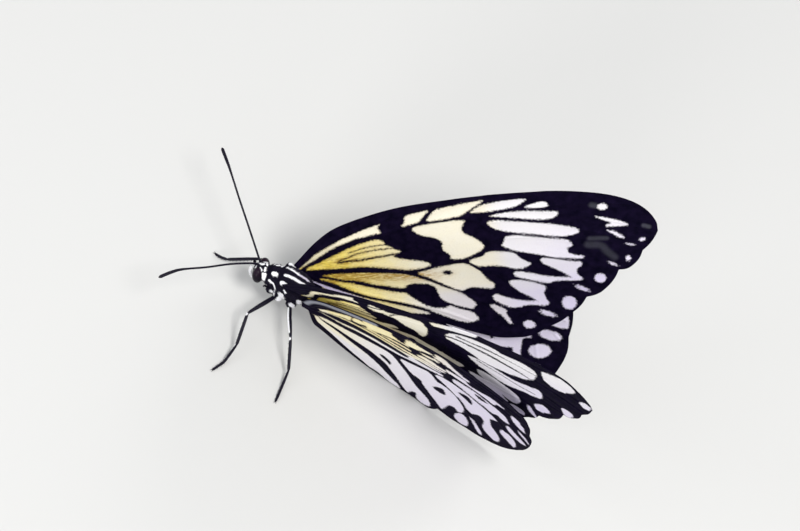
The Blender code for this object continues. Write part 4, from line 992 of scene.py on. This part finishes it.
def makeSkin(material):
    less = body["inset"]
    rings = [(x, z, wide - less, high - less) for x, z, wide, high in body["thorax"]]
    pieces = [ringBody("thoraxForm", rings, body["around"]),
              ringBody("abdomenForm", abdomenRings(less), body["around"]),
              roundBall("headForm", (body["headBack"], 0, 0),
                        [h - less for h in body["headHalf"]], headFrame),
              roundBall("neckForm", body["neckPlace"],
                        [h - body["neckInset"] for h in body["neckHalf"]]),
              roundBall("collarForm", body["collarPlace"], body["collarHalf"])]
    for sign in sides.values():
        for (x, y, z), half in body["lobes"]:
            pieces.append(roundBall("lobe", (x, y * sign, z), half))
    skin = joined(pieces)
    applyModifier(skin, "REMESH", mode="VOXEL", voxel_size=body["voxel"])
    applyModifier(skin, "SMOOTH", factor=0.5, iterations=body["smoothing"])
    outward(skin, 0)
    spots = places(skin)
    pale, lilac = paleMarks(spots)
    setAttributes(skin, pale=pale, lilac=lilac)
    faces = np.array([list(p.vertices)[:3] for p in skin.data.polygons])
    areas = np.array([p.area for p in skin.data.polygons])
    normals = np.array([p.normal for p in skin.data.polygons])
    settle(skin, "skin", material, "black", "thorax", "abdomen", "neck", "head")
    return spots[faces].mean(1), normals, areas


coat = {
    "hairs": 8200,
    "frontShare": 1.6,  # how thick the hair stands on the thorax and head, and on the abdomen
    "rearShare": 0.55,
    "bodyLength": 0.42,
    "headLength": 0.26,
    "rearLength": 0.55,  # against the thorax's
    "width": 0.042,
    "lie": (-1.0, 0.0, -0.12),
    "stray": 0.22,
    "lift": 0.26,
    "headLift": 0.5,
    "liftRange": 0.15,
    "headFrom": 3.2,
    "headTo": 4.0,
    "mapStart": -30,  # the part of the body that the bake map takes in
    "mapLength": 40,
    "mapMargin": 0.02,
    "patch": 0.0015,  # half size of a hair's patch on the map
}
perHair = 7  # points of a hair


def spikes(roots, directions, lengths, widths):
    # closed three-sided spikes as one set of vertices and faces
    directions = unit(directions)
    helper = np.where(np.abs(directions[:, 2:]) < 0.8, (0.0, 0.0, 1.0), (1.0, 0.0, 0.0))
    a = unit(np.cross(directions, helper))
    b = np.cross(directions, a)
    spots = np.zeros((len(roots), perHair, 3))
    pattern = [(0, 2, 1)]
    for i in range(3):
        turn = 2 * math.pi * i / 3
        ring = (a * math.cos(turn) + b * math.sin(turn)) * widths[:, None]
        spots[:, i] = roots + ring - directions * 0.06
        spots[:, i + 3] = roots + ring * 0.8 + directions * (lengths * 0.5)[:, None]
        k = (i + 1) % 3
        pattern += [(i, k, k + 3), (i, k + 3, i + 3), (i + 3, k + 3, 6)]
    spots[:, 6] = roots + directions * lengths[:, None]
    faces = (np.arange(len(roots))[:, None, None] * perHair + np.array(pattern)).reshape(-1, 3)
    return spots.reshape(-1, 3), faces


def meshPiece(name, spots, faces):
    mesh = bpy.data.meshes.new(name)
    mesh.from_pydata(spots.tolist(), [], faces.tolist())
    piece = addToScene(name, mesh)
    outward(piece, 0)
    return piece


def bakeMap(piece, roots):
    # each hair is a small patch at its root's place on a cylinder unwrap of the body
    around = np.arctan2(roots[:, 1], roots[:, 2] - body["middleZ"]) / (2 * math.pi) + 0.5
    along = (roots[:, 0] - coat["mapStart"]) / coat["mapLength"]
    middle = coat["mapMargin"] + (1 - 2 * coat["mapMargin"]) * np.stack([around, along], -1)
    hair, part = np.divmod(cornerPoints(piece), perHair)
    turn = 2 * math.pi * (part % 3) / 3
    reach = np.where(part == perHair - 1, 0.0, coat["patch"])[:, None]
    corners = middle[hair] + reach * np.stack([np.cos(turn), np.sin(turn)], -1)
    piece.data.uv_layers.new(name="OFBake").data.foreach_set("uv", corners.ravel())


def makeCoat(roots, normals, areas, material):
    inFront = roots[:, 0] > body["waist"]
    chance = areas / areas.sum() * np.where(inFront, coat["frontShare"], coat["rearShare"])
    chosen = dice.choice(len(roots), coat["hairs"], replace=False, p=chance / chance.sum())
    spots, out = roots[chosen], normals[chosen]
    count = len(spots)
    # hair lies back along the body and stands up a little more on the head and chest
    back = np.tile(coat["lie"], (count, 1)) + dice.normal(0, coat["stray"], (count, 3))
    back = unit(back - out * np.sum(back * out, axis=1)[:, None])
    onHead = smoothStep((spots[:, 0] - coat["headFrom"]) / (coat["headTo"] - coat["headFrom"]))
    lift = coat["lift"] + coat["headLift"] * onHead + coat["liftRange"] * dice.random(count)
    lengths = coat["bodyLength"] + (coat["headLength"] - coat["bodyLength"]) * onHead
    lengths *= 0.7 + 0.6 * dice.random(count)
    lengths *= np.where(spots[:, 0] < body["waist"], coat["rearLength"], 1)
    widths = coat["width"] * (0.7 + 0.6 * dice.random(count))
    corners, faces = spikes(spots, back + out * lift[:, None], lengths, widths)
    piece = meshPiece("coatForm", corners, faces)
    pale, lilac = paleMarks(spots)
    values = {"pale": pale, "lilac": lilac, "tone": dice.random(count)}
    setAttributes(piece, **{name: np.repeat(value, perHair) for name, value in values.items()})
    bakeMap(piece, spots)
    settle(piece, "coat", material, "black")


eye = {"place": (-0.02, 1.32, 0.0), "half": (1.02, 1.3, 1.72), "segments": 96, "rings": 64,
       "facet": 0.075}


def makeEyes(material):
    x, y, z = eye["place"]
    for side, sign in sides.items():
        piece = roundBall("eyeForm", (x, y * sign, z), eye["half"], headFrame, eye["segments"],
                          eye["rings"])
        # height on the eye, used to paint a sheen towards its top
        height = [(intoHead @ Vector(p))[2] / eye["half"][2] for p in places(piece)]
        setAttributes(piece, height=height)
        settle(piece, "eye" + side.capitalize(), material, "eye", "eye_" + side)


def strand(name, path, radii, resolution=4):
    # a round strand from a curve, with a radius for each point, closed at both ends
    deselect()
    curve = bpy.data.curves.new(name, "CURVE")
    curve.dimensions = "3D"
    curve.bevel_depth = 1.0
    curve.bevel_resolution = resolution
    curve.use_fill_caps = True
    line = curve.splines.new("POLY")
    line.points.add(len(path) - 1)
    line.points.foreach_set("co", np.hstack([path, np.ones((len(path), 1))]).ravel())
    line.points.foreach_set("radius", radii)
    pick(addToScene(name, curve))
    bpy.ops.object.convert(target="MESH")
    piece = bpy.context.object
    outward(piece, 0.001)
    return piece


antenna = {
    "path": [(6.35, 0.55, -1.95), (7.2, 0.8, -1.15), (11.4, 4.6, 0.2), (15.4, 8.6, 1.0),
             (19.4, 12.5, 2.1), (21.1, 14.4, 2.1), (22.7, 16.5, 1.7)],
    "step": 0.07,
    "radius": 0.2,
    "club": 0.32,
    "clubFrom": 0.7,  # as a part of the length
    "clubRise": 0.22,
    "joint": 0.42,
    "jointDepth": 0.09,
    "firstJoint": 0.35,
    "firstSwell": 0.7,
    "tip": 0.5,
}


def makeAntennae(material):
    for side in sides:
        joints = antenna["path"] if side == "left" else mirrored(antenna["path"])
        path = smoothPath(joints, antenna["step"])
        run = runAlong(path)
        club = smoothStep((run / run[-1] - antenna["clubFrom"]) / antenna["clubRise"])
        radii = antenna["radius"] + (antenna["club"] - antenna["radius"]) * club
        radii *= 1 - antenna["jointDepth"] * hump((run / antenna["joint"]) % 1.0 - 0.5, 0.16)
        radii *= 1 + antenna["firstSwell"] * hump(run, antenna["firstJoint"])
        radii *= np.sqrt(np.clip((run[-1] - run) / antenna["tip"], 0.02, 1))
        piece = strand("antennaForm", path, radii)
        settle(piece, "antenna" + side.capitalize(), material, "black", "antenna_" + side)


palp = {"path": [(0.95, 0.85, -1.8), (1.55, 0.95, -0.85), (1.72, 0.95, 0.1), (1.6, 0.85, 1.05)],
        "radius": 0.27, "hairs": 420, "hairLength": 0.36, "hairWidth": 0.045,
        # height above which a palp is dark: a dark tip on the left palp, and painted shade over the
        # right palp's upper half
        "darkAndShadedAbove": {"left": 0.75, "right": -0.6}}


def makePalps(material):
    for side, sign in sides.items():
        path = smoothPath([headFrame @ Vector((x, y * sign, z)) for x, y, z in palp["path"]], 0.1)
        t = np.linspace(0, 1, len(path))
        radii = palp["radius"] * (1 - 0.6 * t ** 3) * np.sqrt(np.clip((1 - t) / 0.06, 0.05, 1))
        piece = strand("palpForm", path, radii)
        at = dice.integers(2, len(path) - 1, palp["hairs"])
        ahead = unit(path[np.minimum(at + 1, len(path) - 1)] - path[at - 1])
        face = np.array(headFrame.to_3x3() @ Vector((1, 0, 0)))
        around = dice.normal(0, 1, (len(at), 3)) + face * 0.6
        around = unit(around - ahead * np.sum(around * ahead, axis=1)[:, None])
        roots = path[at] + around * (radii[at] * 0.85)[:, None]
        aim = around * 0.55 + ahead + dice.normal(0, 0.15, around.shape)
        lengths = palp["hairLength"] * (0.5 + 0.7 * dice.random(len(at)))
        hairs = spikes(roots, aim, lengths, np.full(len(at), palp["hairWidth"]))
        piece = joined([piece, meshPiece("palpHair", *hairs)])
        height = np.array([(intoHead @ Vector(p))[2] for p in places(piece)])
        # white below and dark above that height; on the right palp the dark part is mostly painted
        # shade
        setAttributes(piece, pale=0.5 - np.clip(height - palp["darkAndShadedAbove"][side], -1, 1))
        settle(piece, "palp" + side.capitalize(), material, "white", "palp_" + side)


tongue = {"place": (0.15, 0.0, -1.4), "turns": 2.1, "steps": 48, "inner": 0.25, "pitch": 0.4,
          "radius": 0.17}


def makeTongue(material):
    steps = tongue["steps"]
    turn = np.arange(int(tongue["turns"] * steps) + 1) / steps * 2 * math.pi
    reach = tongue["inner"] + tongue["pitch"] * turn / (2 * math.pi)
    x, y, z = tongue["place"]
    flat = np.stack([x + reach * np.cos(turn), 0 * turn + y, z + reach * np.sin(turn)], -1)
    path = np.array([headFrame @ Vector(p) for p in flat])
    ring = 1 - 0.08 * np.cos(turn * 16)
    piece = strand("tongueForm", path, tongue["radius"] * ring * (0.75 + 0.25 * turn / turn[-1]))
    settle(piece, "tongue", material, "black", "proboscis")


leg = {
    "paths": {
        "midleg_left": [(0.5, 1.9, -5.3), (1.9, 4.6, -5.2), (3.95, 8.3, -5.7), (2.9, 13.7, -8.7),
                        (3.5, 17.6, -9.9), (4.8, 20.2, -10.2)],
        "midleg_right": [(0.9, -1.7, -4.6), (3.2, -3.2, -5.9), (6.0, -4.3, -6.1),
                         (11.2, -2.7, -9.3), (12.6, -2.8, -10.0), (13.7, -3.1, -10.2)],
        "hindleg_left": [(-2.5, 1.8, -5.5), (-3.5, 4.4, -5.7), (-5.3, 8.3, -5.7),
                         (-8.0, 12.8, -8.8), (-8.3, 16.2, -9.9), (-8.4, 19.4, -10.2)],
        "foreleg_left": [(2.3, 1.1, -4.4), (3.0, 1.3, -5.5), (3.3, 1.2, -4.9), (3.4, 1.1, -6.0)],
    },
    "bend": 0.45,  # a joint is rounded this far on each side
    "thigh": 0.44,
    "shin": 0.27,
    "foot": 0.23,
    "foreleg": 0.2,
    "spines": 26,
    "spineLength": 0.42,
    "spineWidth": 0.055,
    "claw": [(0, 0.05, 0), (0.22, 0.17, 0.06), (0.42, 0.21, -0.1)],  # ahead, aside and up
    "clawEnds": (0.075, 0.01),
    "front": (0.83, 0.55, 0),  # the side of a left leg that carries the stripe
    "stripe": 0.6,  # where the stripe starts, as a part of the thickness
    "dot": 0.31,
    "aboveFloor": 0.004,
}
for kind in ("hindleg", "foreleg"):
    leg["paths"][kind + "_right"] = mirrored(leg["paths"][kind + "_left"])


def legRadii(run, knee, ankle):
    t = np.clip(run / knee, 0, 1)
    thigh = leg["thigh"] * (0.82 + 0.3 * np.sin(math.pi * t) - 0.25 * t)
    s = np.clip((run - knee) / (ankle - knee), 0, 1)
    shin = leg["shin"] * (1.0 + 0.15 * np.sin(math.pi * s) + 0.08 * s)
    f = np.clip((run - ankle) / (run[-1] - ankle), 0, 1)
    fold = np.where(f < 0.42, f / 0.42, ((f - 0.42) / 0.58 * 4) % 1.0)  # the foot's joints
    foot = leg["foot"] * (0.82 + 0.22 * fold ** 0.5) * (1 + 0.2 * np.sin(math.pi * f))
    radii = np.where(run < knee, thigh, np.where(run < ankle, shin, foot))
    return radii * (1 - 0.28 * hump(run - knee, 0.22)) * (1 - 0.2 * hump(run - ankle, 0.16))


def makeSpines(path, radii, start):
    at = np.linspace(start, len(path) - 8, leg["spines"]).astype(int)
    ahead = unit(path[at + 2] - path[at - 2])
    across = unit(np.cross(ahead, (0.0, 0.0, 1.0)))
    sense = np.where(np.arange(len(at)) % 2, 1, -1)[:, None]
    under = across * sense * 0.7 - np.cross(across, ahead) * 0.6
    roots = path[at] + under * (radii[at] * 0.7)[:, None]
    length, width = [np.full(len(at), leg[key]) for key in ("spineLength", "spineWidth")]
    return meshPiece("spines", *spikes(roots, ahead * 0.9 + under, length, width))


def makeClaw(path, sign):
    heading = unit((path[-1] - path[-8]) * (1, 1, 0))
    across = np.cross(heading, (0, 0, 1)) * sign
    hook = smoothPath([path[-1] + heading * x + across * y + (0, 0, z) for x, y, z in leg["claw"]],
                      0.05)
    return strand("claw", hook, np.linspace(*leg["clawEnds"], len(hook)), 2)


def makeLeg(node, joints, material):
    # straight between the joints and turning sharply at them
    bends = np.array(joints)
    steps = [bends[0]]
    for a, b, c in zip(bends, bends[1:], bends[2:]):
        steps += [b + unit(a - b) * leg["bend"], b + unit(c - b) * leg["bend"]]
    path = smoothPath(steps + [bends[-1]], 0.1)
    run = runAlong(path)
    knee, ankle = [run[np.argmin(np.linalg.norm(path - bends[k], axis=1))] for k in (-4, -3)]
    walking = len(joints) == 6
    if walking:
        radii = legRadii(run, knee, ankle)
    else:
        radii = leg["foreleg"] * (1 - 0.3 * run / run[-1])
    radii = np.convolve(np.pad(radii, 1, "edge"), (0.25, 0.5, 0.25), "valid")
    radii *= np.sqrt(np.clip((run[-1] - run) / 0.2, 0.05, 1))
    pieces = [strand("legForm", path, radii)]
    if walking:
        pieces.append(makeSpines(path, radii, np.searchsorted(run, knee + 0.6)))
        pieces += [makeClaw(path, sign) for sign in sides.values()]
    piece = joined(pieces)
    spots = places(piece)
    # pale stripe along the front of the thigh, fainter on the middle legs, and a dot at the knee
    pale = np.full(len(spots), -1.0)
    if walking:
        nearest = np.array([np.argmin(((path - p) ** 2).sum(1)) for p in spots])
        front = np.array(leg["front"]) * (1, np.sign(joints[1][1]), 1)
        stripe = (spots - path[nearest]) @ front - leg["stripe"] * radii[nearest]
        inThigh = np.minimum(run[nearest] - 0.8, knee - 0.9 - run[nearest])
        pale = np.minimum(stripe * 3, inThigh) - (0.5 if "mid" in node else 0)
        dot = path[np.searchsorted(run, knee + 0.15)] + front * 0.9 * leg["shin"]
        pale = np.maximum(pale, leg["dot"] - np.linalg.norm(spots - dot, axis=1))
    spots[:, 2] = np.maximum(spots[:, 2], floorZ + leg["aboveFloor"])
    setPlaces(piece, spots)
    setAttributes(piece, pale=pale)
    kind, side = node.split("_")
    settle(piece, kind + side.capitalize(), material, "black", node)


# finishes
finish = {
    "black": (0.0008, 0.0004, 0.0048),
    "softBlack": (0.0055, 0.003, 0.015),
    "white": (0.68, 0.67, 0.66),
    "snow": (0.9, 0.9, 0.92),
    "yellow": (0.78, 0.64, 0.12),
    "brown": (0.34, 0.20, 0.03),
    "speck": (0.10, 0.055, 0.04),
    "lilac": (0.51, 0.46, 0.63),
    "grey": (0.34, 0.35, 0.40),
    "grain": (0.5, 0.46, 0.46),
    "hair": (0.03, 0.024, 0.05),
    "paleHair": (0.66, 0.64, 0.68),
    # eye colours from bottom to top: lighter towards the top, a painted sheen
    "eye": [(0.0, (0.002, 0.001, 0.005)), (0.55, (0.004, 0.002, 0.008)),
            (0.8, (0.012, 0.005, 0.014)), (1.0, (0.018, 0.007, 0.018))],
    "facet": (0.002, 0.001, 0.003),
}


def wingPaint():
    # glow sets the strength of a painted light in the wing's own colour
    look = Look("wingScales", specular=0.03, glow=0.2)
    where = look.flat()  # a hundredth of a unit to the millimetre
    broad = look.noise(where, 60, 3)
    edge = look.noise(where, 260, 4, 0.75)
    along = look.node("ShaderNodeMapping", {}, {"Vector": where, "Scale": (0.22, 1.0, 1.0)}, "Vector")
    streaks = look.noise(along, 300, 3, 0.7)
    fine = look.noise(where, 420, 2)
    grain = look.cells(where, 640)
    ragged = look.attribute("light") + 1.15 * (edge - 0.5)
    light = (ragged / 0.3 + 0.5).clamp()
    lilac = (look.attribute("lilac") * (0.75 + 0.5 * broad)).clamp()
    warm = (look.attribute("warm") * (0.7 + 0.6 * broad)).clamp()
    pale = look.mix(lilac, finish["white"], finish["lilac"])
    pale = look.mix(warm, pale, finish["yellow"])
    # brown scales lie thickest beside the dark marks
    rim = (1 - look.attribute("light") / 0.7).clamp() * look.attribute("warm") * 0.7
    brown = ((look.attribute("brown") + rim) * (streaks * 4.4 - 1.4)).clamp()
    pale = look.mix(brown * 0.9, pale, finish["brown"])
    speck = (fine * 6.0 - 3.5).clamp() * (0.1 + 0.55 * look.attribute("warm"))
    pale = look.mix(speck.clamp(), pale, finish["speck"])
    pale = look.mix((0.5 - grain).clamp() * 0.25, pale, finish["grain"], "MULTIPLY")
    dark = look.mix((broad * 2 - 0.6).clamp(), finish["black"], finish["softBlack"])
    dark = look.mix(look.attribute("haze") * (0.6 + 0.8 * edge), dark, finish["grey"])
    base = look.mix(light, dark, pale)
    height = grain * 0.5 + look.noise(where, 140, 3) * 1.2
    # painted light: a faint glow in the wing's own colour lifts its shaded parts, standing for the
    # light that comes through a thin wing
    return look.feed(baseColor=base, roughness=0.72 - 0.12 * light + 0.1 * broad,
                     normal=look.bump(height, 0.00004, 0.6), glow=base)


def paleMask(look, where, scale, softness):
    # one inside the pale marks, with a ragged edge
    edge = look.noise(where, scale, 2)
    return ((look.attribute("pale") + 0.2 * (edge - 0.5)) / softness + 0.5).clamp()


def bodyPaint(name, hair):
    look = Look(name, specular=0.12)
    where = look.object()
    broad = look.noise(where, 700, 3)
    white = look.mix(look.attribute("lilac"), finish["snow"], finish["lilac"])
    dark = look.mix(broad, finish["black"], finish["softBlack"])
    if hair:
        dark = look.mix(look.attribute("tone") ** 3 * 0.5, dark, finish["hair"])
        white = look.mix(look.attribute("tone") * 0.3, white, finish["paleHair"])
    base = look.mix(paleMask(look, where, 3000, 0.1), dark, white)
    height = look.noise(where, 5200, 2) + broad
    return look.feed(baseColor=base, roughness=0.75 - 0.2 * broad,
                     normal=look.bump(height, 0.00006, 0.7))


def eyePaint():
    look = Look("eyeGloss", specular=0.12, coat=0.03)
    where = look.object()
    facets = look.cells(where, 100 / eye["facet"])
    broad = look.noise(where, 900, 3)
    # painted sheen: the eye gets lighter towards its top
    height = (look.attribute("height") * 0.5 + 0.5).clamp()
    ramp = look.node("ShaderNodeValToRGB", {"stops": finish["eye"]},
                     {"Fac": height + 0.25 * (broad - 0.5)}, "Color")
    base = look.mix(facets * 0.5, ramp, finish["facet"])
    return look.feed(baseColor=base, roughness=0.22 + 0.14 * broad,
                     normal=look.bump(facets, 0.00002, 0.35))


def horn(name, pale):
    look = Look(name, specular=0.2)
    where = look.object()
    broad = look.noise(where, 1500, 3)
    dark = look.mix(broad, finish["black"], finish["softBlack"])
    if pale:
        dark = look.mix(paleMask(look, where, 4200, 0.12), dark, finish["snow"])
    return look.feed(baseColor=dark, roughness=0.4 + 0.25 * broad,
                     normal=look.bump(look.noise(where, 6000, 2), 0.00003, 0.6))


addStudio()
wingScales = wingPaint()
for side in sides:
    makeWing("forewing", fore, side, foreEdges, forePlace, foreTint, wingScales)
    makeWing("hindwing", hind, side, hindEdges, hindPlace, hindTint, wingScales)
roots, normals, areas = makeSkin(bodyPaint("bodySkin", False))
makeCoat(roots, normals, areas, bodyPaint("bodyHair", True))
makeEyes(eyePaint())
makeAntennae(horn("feelerHorn", False))
makePalps(horn("palpHair", True))
makeTongue(horn("tongueHorn", False))
legHorn = horn("legHorn", True)
for node, joints in leg["paths"].items():
    makeLeg(node, joints, legHorn)
